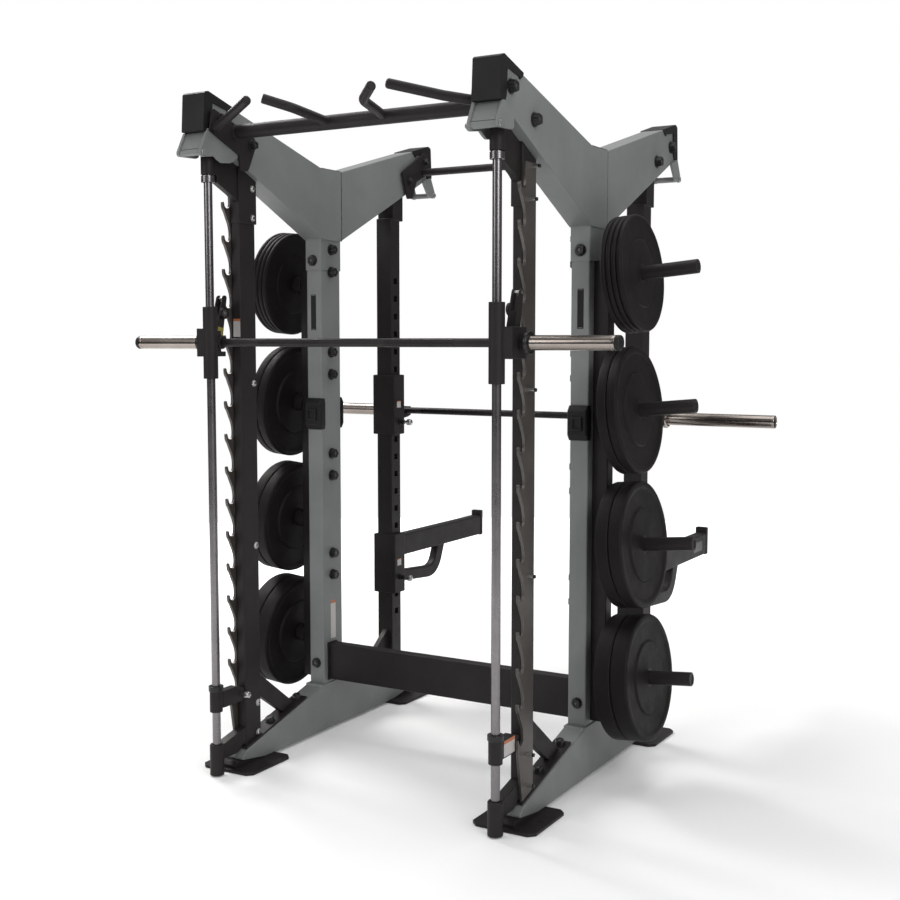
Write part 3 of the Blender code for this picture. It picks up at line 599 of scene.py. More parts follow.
ATTACH_Y = (1.129, 1.213)
BARREL = 0.026  # length of the pin barrels on them
LABEL_Y = (1.15, 1.181)
STOP_PIN = (0.127, 0.2765)  # Y and Z of the pins of the rod stops
HORN_TILT = math.radians(5.3)
HORN_LEVELS = (1.82, 1.343, 0.864, 0.384)
HORN_AXIS = Vector((math.cos(HORN_TILT), 0, math.sin(HORN_TILT)))
HORN_SEAT = 0.713  # X where the plates rest against the collar of a horn


def arm_top(y):
    return VALLEY + ARM_SLOPE * (VALLEY_EDGE - y)


def arm_bottom(y):
    slope = (ARM_CHIN[1] - ARM_BELLY[1]) / (ARM_CHIN[0] - ARM_BELLY[0])
    return ARM_CHIN[1] + slope * (y - ARM_CHIN[0])


def leg_top(y):
    return 0.063 + LEG_SLOPE * (y - 0.122)


# ---- fixed frame ----
# A turn is list for the front half of a side frame, and rear for its mirror image.
def bumper(turn, wing):
    """Moulded pad on a face of the column, bevelled all round, with wings over the corners."""
    def ring(z, half, nose, shoulder, depth):
        left = [(-half, wing), (-half, -shoulder), (-nose, -depth)]
        plan = left + [(-dx, dy) for dx, dy in reversed(left)]
        return [(SIDE + dx, *turn([(COLUMN_FRONT + dy, z)])[0]) for dx, dy in plan]
    rim = (0.0375, 0.0345, 0.0035, 0.006)
    face = (0.0405, 0.033, 0.012, BUMPER_DEEP)
    rings = [ring(1.2385, *rim), ring(1.2575, *face), ring(1.3445, *face), ring(1.3635, *rim)]
    return soften(loft(rings), 0.0035, 3, 20)


def column():
    piece = Piece()
    x = (SIDE - COLUMN_WIDE / 2, SIDE + COLUMN_WIDE / 2)
    y = (COLUMN_FRONT, MIDDLE + COLUMN_DEEP / 2)
    piece.add("grey", prism(round_box(x, y, 0.0065), 0.2003, 1.975, "Z", 0.0))
    for turn, wing in ((list, 0.017), (rear, -0.001)):
        piece.add("plastic", bumper(turn, wing))
    face = COLUMN_FRONT - BUMPER_DEEP
    boss_x, recess_x = (SIDE - 0.0215, SIDE + 0.0215), (SIDE - 0.013, SIDE + 0.013)
    boss = block(boss_x, (face - 0.007, face + 0.004), (1.273, 1.3235), 0.0035)
    recess = block(recess_x, (face - 0.01, face - 0.0018), (1.282, 1.315), 0.002, 2)
    piece.add("plastic", carve(boss, recess))
    # blank name plate with a thin line at each end
    plate = (SIDE - 0.01, SIDE + 0.014)
    line = (plate[0] + 0.003, plate[1] - 0.003)
    piece.add("plastic", block(plate, (y[0] - 0.0014, y[0] + 0.001), (1.635, 1.776), 0.0006, 2))
    for z in (1.638, 1.7715):
        piece.add("grey", block(line, (y[0] - 0.0018, y[0] - 0.001), (z, z + 0.0015), 0.0002, 1))
    cap_bolt(piece, (SIDE + 0.002, COLUMN_FRONT, 0.283), FORWARD, 0.86, 0.014)
    for z in (1.547, 1.458, 1.138, 1.049, 0.731, 0.642):
        cap_bolt(piece, (x[0], MIDDLE - 0.002, z), INWARD, 0.92)
    side_label(piece, x[0], (MIDDLE - 0.017, MIDDLE + 0.017), (0.378, 0.522, 0.534), 0.0005)
    piece.pair("column_tube", "frame", "grey_paint", "column")


def ears(piece, x):
    """Ear plates on both arm ends, the folded web between the front ones and the cross pins."""
    front_inner = [
        (0.104, 2.2475), (0.104, 2.264), (-0.03, 2.327), (-0.06, 2.327),
        (-0.101, 2.244), (-0.0985, 2.23), (-0.084, 2.2265), (-0.024, 2.2355), (-0.004, 2.224),
        (0.016, 2.2165), (0.06, 2.221), (0.085, 2.233),
    ]
    front_outer = [
        (-0.056, 2.3175), (-0.064, 2.316), (-0.1, 2.248), (-0.1, 2.237), (-0.092, 2.232),
        (-0.006, 2.2355), (0.006, 2.242), (0.006, 2.29),
    ]
    tab = [
        (-0.056, 2.3175), (-0.064, 2.316), (-0.1, 2.25), (-0.1, 2.237), (-0.092, 2.231),
        (-0.052, 2.2335), (-0.043, 2.239), (-0.006, 2.284), (0.002, 2.296),
    ]
    for turn, inner, outer in ((list, front_inner, front_outer), (rear, tab, tab)):
        piece.add("grey", prism(turn(fillet(inner, 0.007)), x[0] - EAR, x[0] + 0.001, "X", 0.0014, 2))
        piece.add("grey", prism(turn(fillet(outer, 0.007)), x[1] - 0.001, x[1] + EAR, "X", 0.0014, 2))
    web = [(-0.044, 2.315), (-0.056, 2.316), (-0.09, 2.256), (-0.086, 2.253)]
    piece.add("grey", prism(web, x[0] - 0.0005, x[1] + 0.0005, "X", 0.0008, 2))
    z = 2.2435
    for y in (-0.084, 2 * MIDDLE + 0.084):
        piece.add("grey", rod((x[0] - 0.019, y, z), (x[1] + 0.015, y, z), 0.0082, 36, 0.002))
        piece.add("grey", rod((x[0] - 0.0005, y, z), (x[1] + 0.0005, y, z), 0.0112, 40, 0.0008))
        for face, way in ((x[0] - EAR - 0.0002, -1), (x[1] + EAR + 0.0002, 1)):
            piece.add("zinc", rod((face, y, z), (face + way * 0.0036, y, z), 0.0108, 32, 0.0012))


def yoke():
    piece = Piece()
    x = (SIDE - ARM_WIDE / 2, SIDE + ARM_WIDE / 2)
    back = 2 * MIDDLE - VALLEY_EDGE
    gap = 0.0013                               # half of the joint between the two arms
    tip = (ARM_END, arm_top(ARM_END))
    front = [(VALLEY_EDGE, VALLEY), tip, ARM_CHIN, ARM_BELLY]
    front += [(back - gap, ARM_BELLY[1]), (back - gap, VALLEY)]
    piece.add("grey", prism(front, *x, "X", 0.0032, 3, 12))
    inner = VALLEY_EDGE - gap
    behind = rear([(inner, VALLEY + 0.0002), tip, ARM_CHIN, (inner, arm_bottom(inner))])
    piece.add("grey", prism(behind, x[0] + 0.0002, x[1] - 0.0002, "X", 0.0032, 3, 12))
    # black block inside the joint between the two arms: painted shade that makes the seam line dark
    joint = (back - 0.003, back + 0.003)
    piece.add("gloss", block((x[0] + 0.0012, x[1] - 0.0012), joint, (1.993, VALLEY - 0.0008), 0.0))
    wide = COLUMN_WIDE / 2 + SLEEVE_WALL
    deep = COLUMN_DEEP / 2 + SLEEVE_WALL
    sleeve = round_box((SIDE - wide, SIDE + wide), (MIDDLE - deep, MIDDLE + deep), 0.0075)
    piece.add("grey", prism(sleeve, SLEEVE_FOOT, 2.03, "Z", 0.0008, 2, 40))
    ears(piece, x)
    for y, z in ((-0.001, 2.366), (0.162, 2.29), (1.235, 2.287), (1.386, 2.361)):
        cap_bolt(piece, (x[1], y, z), OUTWARD)
    cap_bolt(piece, (SIDE + 0.002, MIDDLE - deep, 1.911), FORWARD, 0.92, 0.014)
    for z in (1.955, 1.866):
        cap_bolt(piece, (SIDE - wide, MIDDLE - 0.002, z), INWARD, 0.92)
    # dark strip in the valley
    strip_x, strip_y = (x[0] + 0.001, x[1] - 0.001), (VALLEY_EDGE + 0.002, back - 0.004)
    piece.add("plastic", block(strip_x, strip_y, (VALLEY - 0.001, VALLEY + 0.0022), 0.001, 2))
    piece.pair("head_yoke", "frame", "grey_paint", "top_yoke")


def caps():
    wall, lid = 0.0045, 0.0028
    x = (SIDE - ARM_WIDE / 2 - wall, SIDE + ARM_WIDE / 2 + wall)
    outline = [
        (-0.078, 2.3165), (-0.07, 2.446), (-0.062, 2.4525), (-0.048, arm_top(-0.048) + lid),
        (0.082, arm_top(0.082) + lid), (0.077, 2.408), (0.056, 2.395), (0.05, 2.404), (-0.026, 2.418),
        (-0.032, 2.334), (-0.04, 2.3165),
    ]
    for name, turn in (("front_cap", list), ("rear_cap", rear)):
        piece = Piece()
        piece.add("plastic", prism(turn(fillet(outline, 0.004, 3)), *x, "X", 0.003, 3, 30))
        piece.pair(name + "_moulding", "frame", "black_plastic", name)


def base_leg():
    piece = Piece()
    half = [
        (0.6, 0.2), (0.6, leg_top(0.6)), (0.122, leg_top(0.122)), (0.098, 0.0425), (0.098, 0.0335),
        (0.235, 0.0113),
    ]
    piece.add("grey", prism(half + list(reversed(rear(half))), 0.539, 0.619, "X", 0.0034, 3, 4))
    piece.pair("base_shell", "frame", "grey_paint", "base_leg")


def feet():
    ramp = [(0.06, 0.008), (0.222, 0.008), (0.222, 0.0125), (0.098, 0.0329), (0.074, 0.0329), (0.06, 0.022)]
    cut = 0.022
    for name, x, y, turn in (
        ("front_foot", (0.46, 0.695), (0.042, 0.297), list),
        ("rear_foot", (0.464, 0.696), (1.1, 1.344), rear),
    ):
        piece = Piece()
        outline = [
            (x[0] + cut, y[0]), (x[1] - cut, y[0]), (x[1], y[0] + cut), (x[1], y[1] - cut),
            (x[1] - cut, y[1]), (x[0] + cut, y[1]), (x[0], y[1] - cut), (x[0], y[0] + cut),
        ]
        piece.add("dark", prism(fillet(outline, 0.008, 3), 0.0, 0.011, "Z", 0.0022, 3, 40))
        piece.add("dark", prism(turn(ramp), 0.541, 0.617, "X", 0.0015, 2))
        for px in (x[0] + 0.035, x[1] - 0.035):
            centre = (px, (y[0] + y[1]) / 2, 0)
            piece.add("dark", disc(centre, UP, 0.0105, 0.0122, 0.012, 32, 0.0006))
            piece.add("plastic", disc(centre, UP, 0.011, 0.0124, 0.007, 24, 0.0003))
        piece.pair(name + "_pad", "frame", "dark_paint", name)


def foot_joint(piece, turn):
    """Sloping foot plate, brace and the two bolts that hold an upright to its leg."""
    plate = [(y, leg_top(y) + 0.0003) for y in (0.128, 0.51)]
    plate += [(y, z + 0.008) for y, z in reversed(plate)]
    piece.add("dark", prism(turn(plate), 0.546, 0.612, "X", 0.0014, 2))
    strut = [(0.19, 0.275), (0.19, 0.364), (0.452, 0.163), (0.452, 0.156), (0.384, 0.138)]
    piece.add("dark", prism(turn(strut), 0.566, 0.59, "X", 0.0022))
    up = (0, -LEG_SLOPE if turn is list else LEG_SLOPE, 1)
    for y in (0.313, 0.486):
        place = turn([(y, leg_top(y) + 0.0083)])[0]
        cap_bolt(piece, (SIDE, *place), up, 0.82, 0.018)


def saddle(piece, turn, x, y, low):
    """Box that joins the top of an upright to the underside of the arm."""
    outline = [(y[0], low), (y[1], low), *((edge, arm_bottom(edge) - 0.0003) for edge in reversed(y))]
    piece.add("dark", prism(turn(outline), *x, "X", 0.0024))


def front_upright():
    piece = Piece()
    x = (0.559, 0.5977)
    y = (0.1435, 0.2335)
    post = [(y[0], leg_top(y[0]) + 0.0033), (y[1], leg_top(y[1]) + 0.0033), (y[1], 2.16), (y[0], 2.16)]
    piece.add("dark", prism(post, *x, "X", 0.0042, 4))
    saddle_x = (x[0] - 0.005, x[1] - 0.002)
    saddle_foot = 2.02
    saddle(piece, list, saddle_x, (y[0] - 0.005, y[1] + 0.005), saddle_foot)
    gusset = [(0.02, 2.179), (0.02, 2.243), *((top, arm_bottom(top) - 0.0013) for top in (0.06, 0.145))]
    gusset += [(0.145, 2.09), (0.105, 2.117), (0.028, 2.152), (0.028, 2.179)]
    piece.add("dark", prism(gusset, 0.56, 0.5865, "X", 0.003))
    piece.add("dark", disc((SIDE, 0, 2.1765), UP, 0, 0.0685, 0.0245, 56, 0.0025))
    foot_joint(piece, list)
    for z in (2.1485, 2.042, 1.435, 0.826, 0.223, 0.108):
        face = saddle_x[0] if z > saddle_foot else x[0]
        socket_bolt(piece, (face, BOLT_Y, z), INWARD)
    # blank label with an orange band, on the front of the upright
    label_x = (x[0] + 0.002, x[1] - 0.006)
    piece.add("label", block(label_x, (y[0] - 0.0006, y[0] + 0.001), (1.607, 1.664), 0.0002, 1))
    piece.add("orange", block(label_x, (y[0] - 0.0008, y[0] + 0.001), (1.664, 1.673), 0.0002, 1))
    piece.pair("upright_post", "frame", "dark_paint", "front_upright")


def hook_rack():
    piece = Piece()
    tooth = [
        (-0.003, -0.005), (0.001, 0.0), (0.005, -0.0045), (0.008, -0.014), (0.014, -0.0205),
        (0.024, -0.022), (0.0335, -0.0155), (0.037, -0.004), (0.0362, 0.018), (0.03, 0.04),
        (0.019, 0.062), (0.008, 0.084), (-0.0005, 0.096),
    ]
    curve = []
    for k in reversed(range(HOOKS)):
        tip = HOOK_TOP - k * HOOK_PITCH
        curve += [(0.104 + dy, tip + dz) for dy, dz in tooth if not (k == 0 and dz > 0.03)]
    back, lift = 0.2125, 0.0089
    outline = [(back, 2.16), (back, leg_top(back) + lift), (0.136, leg_top(0.136) + lift)]
    outline += [(0.122, 0.15), (0.1045, 0.262), *flowing(curve), (0.139, 2.16)]
    piece.add("rack", prism(outline, 0.598, 0.608, "X", 0.0009, 2, 60))
    for z in (2.1485, 2.042, 1.435, 0.826, 0.23, 0.125):
        place = (0.6075, 0.165 if z < 2.1 else 0.185, z)
        piece.add("zinc", disc(place, OUTWARD, 0, 0.0225, 0.0058, 28, 0.001))
        piece.add("gloss", disc(place, OUTWARD, 0.0215, 0.0295, 0.0064, 28, 0.002))
    piece.pair("rack_plate", "frame", "rack_steel", "hook_rack")


def guide_rod():
    piece = Piece()
    piece.add("chrome_z", disc((SIDE, 0, 0.03), UP, 0, 2.175, 0.015, 64, 0.0012))
    rib = 0.0058
    ribs = [(0, 0.0155)]
    for low in (0, rib, 2 * rib, 3 * rib):
        ribs += [(low + 0.0004, 0.024), (low + 0.0046, 0.024), (low + 0.005, 0.0226), (low + rib, 0.0226)]
    ribs += [(0.0235, 0.0155)]
    piece.add("chrome_z", lathe(ribs, (SIDE, 0, 2.15), UP, 56))
    piece.pair("polished_rod", "frame", "chrome", "guide_rod")


def rod_socket():
    piece = Piece()
    cup = (
        (0.004, 0), (0.004, 0.026), (0.114, 0.026), (0.118, 0.0235), (0.118, 0.0175), (0.113, 0.017),
        (0.113, 0),
    )
    piece.add("dark", lathe(cup, (SIDE, 0, 0), UP, 56, 0.002))
    arm = [
        (0.01, 0.06), (0.01, 0.11), (0.03, 0.118), (0.1432, 0.146), (0.1432, 0.082),
        (0.12, 0.082), (0.12, 0.07), (0.09, 0.06),
    ]
    piece.add("dark", prism(arm, 0.56, 0.597, "X", 0.0026))
    piece.pair("rod_cup", "frame", "dark_paint", "rod_socket")


def rear_upright():
    piece = Piece()
    post = [(y, leg_top(2 * MIDDLE - y) + 0.0033) for y in REAR_Y]
    post += [(y, 2.118) for y in reversed(REAR_Y)]
    holes = bmesh.new()
    for k in range(HOLES):
        middle = Matrix.Translation((REAR_X[0], HOLE_Y, HOLE_FIRST + k * HOLE_PITCH))
        bmesh.ops.create_cube(holes, size=1.0, matrix=middle @ Matrix.Diagonal((0.044, 0.026, 0.025, 1)))
    piece.add("dark", carve(prism(post, *REAR_X, "X", 0.004), holes))
    saddle(piece, rear, (REAR_X[0] - 0.002, REAR_X[1] + 0.002), (0.15, 0.228), 2.11)
    foot_joint(piece, rear)
    piece.pair("rear_post", "frame", "dark_paint", "rear_upright")


def lower_beam():
    half = SIDE - COLUMN_WIDE / 2 - 0.0003
    piece = Piece()
    piece.add("dark", prism(round_box((0.655, 0.705), (0.214, 0.362), 0.0055), -half, half, "X", 0.0))
    flange = round_box((0.6475, 0.7125), (0.21, 0.366), 0.006)
    for side in (-1, 1):
        piece.add("dark", prism(flange, *sorted((side * half, side * (half - 0.006))), "X", 0.0012, 2, 40))
    piece.single("cross_beam", "frame", "dark_paint", "lower_beam")


def cross_tube(piece, place, radius, segments, plate, bolts, size, tall):
    """A round tube between the yokes, with a bolted plate at each end."""
    ends = [(side * (TIE_END - 0.004), *place) for side in (-1, 1)]
    piece.add("dark", rod(*ends, radius, segments))
    for side in (-1, 1):
        face = side * (TIE_END - 0.008)
        piece.add("dark", prism(fillet(plate, 0.008), *sorted((side * TIE_END, face)), "X", 0.0014, 2))
        for bolt in bolts:
            cap_bolt(piece, (face, *bolt), (-side, 0, 0), size, tall)


def pullup_bar():
    piece = Piece()
    plate = [
        (-0.058, 2.318), (-0.047, 2.388), (-0.035, 2.396), (0.184, 2.325), (0.194, 2.314),
        (0.195, 2.297), (0.152, 2.209), (0.142, 2.201), (0.104, 2.2), (0.0985, 2.254),
    ]
    bar = (0.085, 2.332)
    cross_tube(piece, bar, 0.025, 64, plate, ((0.1717, 2.2966), (-0.001, 2.366)), 0.8, 0.018)
    wide_grip = ((0.514, -0.036, 2.329), (0.43, -0.076, 2.345), (0.2714, -0.1554, 2.385))
    narrow_grip = ((0.113, *bar), (0.139, -0.086, 2.357), (0.2151, -0.1505, 2.3846))
    bead = ((0, 0.02), (0, 0.0275), (0.004, 0.0262), (0.006, 0.025), (0.006, 0.02))
    for side in (-1, 1):
        wide = [(side * x, y, z) for x, y, z in wide_grip]
        piece.add("dark", sweep(wide, 0.016, 36, 0.009))
        narrow = [(side * x, y, z) for x, y, z in narrow_grip]
        piece.add("dark", sweep(bend(*narrow, 0.06, 10), 0.016, 36, 0.005))
        # weld bead where the bar meets its plate
        piece.add("dark", lathe(bead, (side * (TIE_END - 0.008), *bar), (-side, 0, 0), 48, 0.0008))
    piece.single("pull_up_bar", "frame", "dark_paint", "pullup_bar")


def rear_crossbar():
    piece = Piece()
    plate = [
        (1.191, 2.316), (1.205, 2.327), (1.371, 2.419), (1.4, 2.414), (1.404, 2.33),
        (1.307, 2.287), (1.281, 2.224), (1.27, 2.212), (1.236, 2.206), (1.229, 2.216),
    ]
    cross_tube(piece, (1.36, 2.333), 0.016, 48, plate, ((1.25, 2.283), (1.38, 2.38)), 0.72, 0.015)
    piece.single("rear_tie_bar", "frame", "dark_paint", "rear_crossbar")


def horn_point(level, x):
    """The point of a horn's axis at an X. Its level is the height at X = 0.70."""
    return Vector((x, MIDDLE, level + (x - 0.7) * math.tan(HORN_TILT)))


def storage_post():
    piece = Piece()
    x = (SIDE + COLUMN_WIDE / 2 + 0.0003, 0.6735)
    post = round_box(x, (MIDDLE - 0.0265, MIDDLE + 0.0265), 0.005)
    piece.add("dark", prism(post, 0.215, 1.8725, "Z", 0.0))
    cap_y = (MIDDLE - 0.025, MIDDLE + 0.025)
    piece.add("plastic", block((x[0] + 0.0015, x[1] - 0.0015), cap_y, (1.868, 1.8745), 0.0015, 2))
    for level in HORN_LEVELS:
        root = horn_point(level, 0.6705)
        seat = (horn_point(level, HORN_SEAT) - root).length - 0.0003
        long = (horn_point(level, 0.99) - root).length
        profile = (
            (0, 0), (0, 0.036), (seat - 0.006, 0.036), (seat, 0.033), (seat, 0.0245),
            (long - 0.001, 0.0245), (long, 0.023), (long, 0.0165), (long - 0.003, 0.015), (long - 0.003, 0),
        )
        piece.add("dark", lathe(profile, root, HORN_AXIS, 56, 0.0022))
    piece.pair("storage_tree", "frame", "dark_paint", "storage_post")


def plates():
    """One detailed disc per plate: rounded rim, sunk web, raised hub and a steel ring in the bore."""
    stacks = ((0.205, 4, 0.078), (0.225, 2, 0.074), (0.225, 2, 0.098), (0.225, 2, 0.124))
    groove = 0.0022
    for number, (radius, count, thick) in enumerate(stacks):
        piece = Piece()
        each = thick / count
        seat = horn_point(HORN_LEVELS[number], HORN_SEAT)
        sunk = min(0.006, each * 0.16)
        hub = radius * 0.56
        lip = radius * (0.905 if count == 2 else 0.93)
        for k in range(count):
            low, high = k * each + 0.0003, (k + 1) * each - 0.0003
            outer = [
                (high - 0.0004, 0.033), (high - 0.0004, hub), (high - sunk * 0.9, hub + 0.005),
                (high - sunk - groove, hub + 0.0065), (high - sunk, hub + 0.0095),
                (high - sunk, lip - 0.012), (high - sunk * 0.25, lip - 0.003), (high, lip + 0.004),
                (high, radius - 0.0065), (high - 0.0025, radius - 0.0018), (high - 0.0065, radius),
            ]
            inner = [(low + high - along, reach) for along, reach in reversed(outer)]
            piece.add("rubber", lathe(outer + inner, seat, HORN_AXIS, 96))
            piece.add("dark", tube(seat, HORN_AXIS, low + 0.0008, high - 0.001, 0.0256, 0.034, 48, 0.0008))
        name = "plates_" + str(number + 1)
        piece.pair("weights_" + str(number + 1), name + "_{}", "rubber", name)


# ---- smith bar ----
def carriage():
    piece = Piece()
    z = (1.4577, 1.7133)
    piece.add("dark", tube((SIDE, 0, 0), UP, *z, 0.0156, 0.026, 64, 0.0016))
    lip = 0.005
    for low in (z[0] - 0.0004, z[1] + 0.0004 - lip):
        piece.add("gloss", tube((SIDE, 0, 0), UP, low, low + lip, 0.0154, 0.0205))
    low, high = BAR_Z - 0.0505, BAR_Z + 0.0505
    for x, y, height in (
        ((0.576, 0.5866), (-0.008, 0.056), (low + 0.008, high - 0.008)),
        ((0.6205, 0.637), (-0.008, 0.092), (low, high)),
        ((0.5765, 0.6365), (-0.0078, 0.0212), (low + 0.0002, high - 0.0002)),
        ((0.585, 0.6365), (-0.0076, 0.0916), (low + 0.0003, BAR_Z - 0.0322)),
    ):
        piece.add("dark", block(x, y, height, 0.0024))
    ring = ((0, 0.015), (0, 0.0235), (0.007, 0.0235), (0.009, 0.0215), (0.009, 0.015))
    piece.add("dark", lathe(ring, (0.577, BAR_Y, BAR_Z), INWARD, 48, 0.0008))
    piece.pair("bearing_block", "carriage", "dark_paint", "carriage")


def latch():
    piece = Piece()
    x = (0.5875, 0.6195)
    piece.add("dark", rod((x[0] + 0.0008, BAR_Y, BAR_Z), (x[1] - 0.0008, BAR_Y, BAR_Z), 0.028, 48, 0.0016))
    start = Vector((0, BAR_Y, BAR_Z))
    end = start + Vector((0, 0.0385, 0.159))
    upward = (end - start).normalized()
    forward = Vector((0, upward.z, -upward.y))

    def cut(points, low, high, width, steps):
        return prism([(p.y, p.z) for p in points], low, high, "X", width, steps)

    outline = [
        start - forward * 0.024, end - forward * 0.013, end - forward * 0.01 + upward * 0.008,
        end + upward * 0.0125, end + forward * 0.009 + upward * 0.0075, end + forward * 0.0095,
        start + forward * 0.02,
    ]
    sides = fillet([(p.y, p.z) for p in outline], 0.005, 3)
    for low in (x[0], x[1] - 0.006):
        piece.add("dark", prism(sides, low, low + 0.006, "X", 0.0012, 2))
    piece.add("zinc", rod((x[0] + 0.001, end.y, end.z), (x[1] - 0.001, end.y, end.z), 0.006, 32, 0.0006))
    piece.add("zinc", rod((x[1] - 0.001, end.y, end.z), (x[1] + 0.0022, end.y, end.z), 0.005, 28, 0.0008))
    # web that joins the cheeks in front
    rise, crown = start + upward * 0.026, start + upward * 0.1
    web = [rise - forward * 0.0215, crown - forward * 0.0148, crown - forward * 0.011]
    web.append(rise - forward * 0.017)
    piece.add("dark", cut(web, x[0] + 0.004, x[1] - 0.004, 0.0006, 1))
    # round hand knob on the inner cheek
    knob = start + upward * 0.1085 + Vector((x[0] - 0.0006, 0, 0))
    grip = (
        (0, 0), (0, 0.0195), (0.0012, 0.0208), (0.0082, 0.0208), (0.0095, 0.019), (0.0095, 0.015),
        (0.0082, 0.014), (0.0082, 0),
    )
    insert = ((0.007, 0), (0.007, 0.0138), (0.0088, 0.013), (0.0088, 0))
    screw = ((0.008, 0), (0.008, 0.0052), (0.0112, 0.0046), (0.0112, 0))
    piece.add("knurl", lathe(grip, knob, INWARD, 72, 0.0, 24, 0.018))
    piece.add("rack", lathe(insert, knob, INWARD, 40, 0.0005))
    piece.add("zinc", lathe(screw, knob, INWARD, 24, 0.0005))
    band = start + upward * 0.041
    strip = [
        band - forward * 0.0165 - upward * 0.012, band - forward * 0.0145 + upward * 0.015,
        band + forward * 0.012 + upward * 0.015, band + forward * 0.0145 - upward * 0.012,
    ]
    piece.add("amber", cut(strip, x[0] - 0.0004, x[0] + 0.001, 0.0001, 1))
    piece.pair("latch_hook", "smith_bar", "dark_paint", "latch")


def smith_bar():
    piece = Piece()
    piece.add("dark", rod((-0.65, BAR_Y, BAR_Z), (0.65, BAR_Y, BAR_Z), 0.0145))
    collar = (
        (0, 0), (0, 0.029), (0.004, 0.035), (0.006, 0.0367), (0.014, 0.0367), (0.016, 0.035),
        (0.0158, 0.026), (0.0158, 0),
    )
    cap = (
        (0, 0), (0, 0.024), (0.013, 0.024), (0.0165, 0.0215), (0.0165, 0.009), (0.0145, 0.008),
        (0.0145, 0),
    )
    bolt = ((0.013, 0), (0.013, 0.0068), (0.0172, 0.006), (0.0172, 0))
    for side in (-1, 1):
        away = (side, 0, 0)
        grip = [(side * x, BAR_Y, BAR_Z) for x in (0.13, 0.4)]
        piece.add("knurl", rod(*grip, 0.01475, 48, 0.0005))
        piece.add("gloss", lathe(collar, (side * 0.654, BAR_Y, BAR_Z), away, 56, 0.001))
        piece.add("dark", disc((side * 0.639, BAR_Y, BAR_Z), away, 0, 0.016, 0.02, 40, 0.001))
        piece.add("plastic", lathe(cap, (side * 0.9577, BAR_Y, BAR_Z), away, 56, 0.0012))
        piece.add("gloss", lathe(bolt, (side * 0.9577, BAR_Y, BAR_Z), away, 6, 0.0004))
    piece.single("bar_shaft", "smith_bar", "dark_paint", "smith_bar")


def smith_sleeve():
    piece = Piece()
    low, high = 0.6703, 0.9572
    long = high - low
    profile = (
        (0, 0.0151), (0, 0.0236), (0.001, 0.024), (long - 0.012, 0.024), (long - 0.0115, 0.0233),
        (long - 0.01, 0.0233), (long - 0.0095, 0.024), (long - 0.001, 0.024), (long, 0.0232),
        (long, 0.0151),
    )
    piece.add("chrome_x", lathe(profile, (low, BAR_Y, BAR_Z), OUTWARD, 64))
    piece.pair("bar_sleeve", "smith_sleeve_{}", "chrome", "smith_sleeve")


def rod_stop():
    piece = Piece()
    pad, top = 0.3185, 0.3365
    piece.add("dark", tube((SIDE, 0, 0), UP, 0.2395, pad, 0.0156, 0.0235, 56, 0.0016))
    piece.add("gloss", tube((SIDE, 0, 0), UP, pad - 0.002, top - 0.0002, 0.0156, 0.027, 56, 0.0024))
    arm = [(0.019, 0.25), (0.019, 0.312), (0.1, 0.312), (0.139, 0.298), (0.139, 0.26), (0.12, 0.25)]
    solid = prism(fillet(arm, 0.004, 3), 0.562, 0.594, "X", 0.002, 2)
    piece.add("dark", carve(solid, rod((0.55, *STOP_PIN), (0.61, *STOP_PIN), PIN_BORE, 32, 0.0)))
    # blank label with an orange band, on the outer side
    label_y = (0.03, 0.106)
    piece.add("label", block((0.5935, 0.5946), label_y, (0.254, 0.296), 0.0003, 1))
    piece.add("orange", block((0.5935, 0.5948), label_y, (0.296, 0.307), 0.0003, 1))
    piece.pair("depth_stop", "rod_stop_{}", "dark_paint", "rod_stop")


def pull_pins():
    """Pins drawn out by their stroke, with a knurled knob that slips over the barrel."""
    stroke = 0.014
    knob = (
        (0.005, 0), (0.005, 0.0098), (0, 0.0102), (0, 0.0118), (0.002, 0.0128), (0.006, 0.0132),
        (0.015, 0.0132), (0.019, 0.012), (0.0216, 0.0085), (0.0222, 0.0),
    )
    for name, tip, mouth, place in (
        ("stop_pin", 0.5937, 0.562, STOP_PIN),
        ("j_hook_pin", 0.5366, ATTACH_X[0] - BARREL, (HOLE_Y, J_HOOK_PIN)),
        ("spotter_pin", 0.5366, ATTACH_X[0] - BARREL, (HOLE_Y, SPOTTER_PIN)),
    ):
        piece = Piece()
        head = mouth - stroke - 0.0003
        piece.add("zinc", rod((tip, *place), (head - 0.006, *place), 0.006, 32, 0.0008))
        piece.add("zinc", lathe(knob, (head, *place), INWARD, 60, 0.0, 20, 0.018))
        piece.pair(name + "_plunger", name + "_{}", "zinc", name)


# ---- rear attachments ----
def post_room(gap, low, high):
    """The room that a rear upright takes up, with a gap all round it."""
    x = (REAR_X[0] - gap, REAR_X[1] + gap)
    y = (REAR_Y[0] - gap, REAR_Y[1] + gap)
    return block(x, y, (low - 0.01, high + 0.01), 0.0)


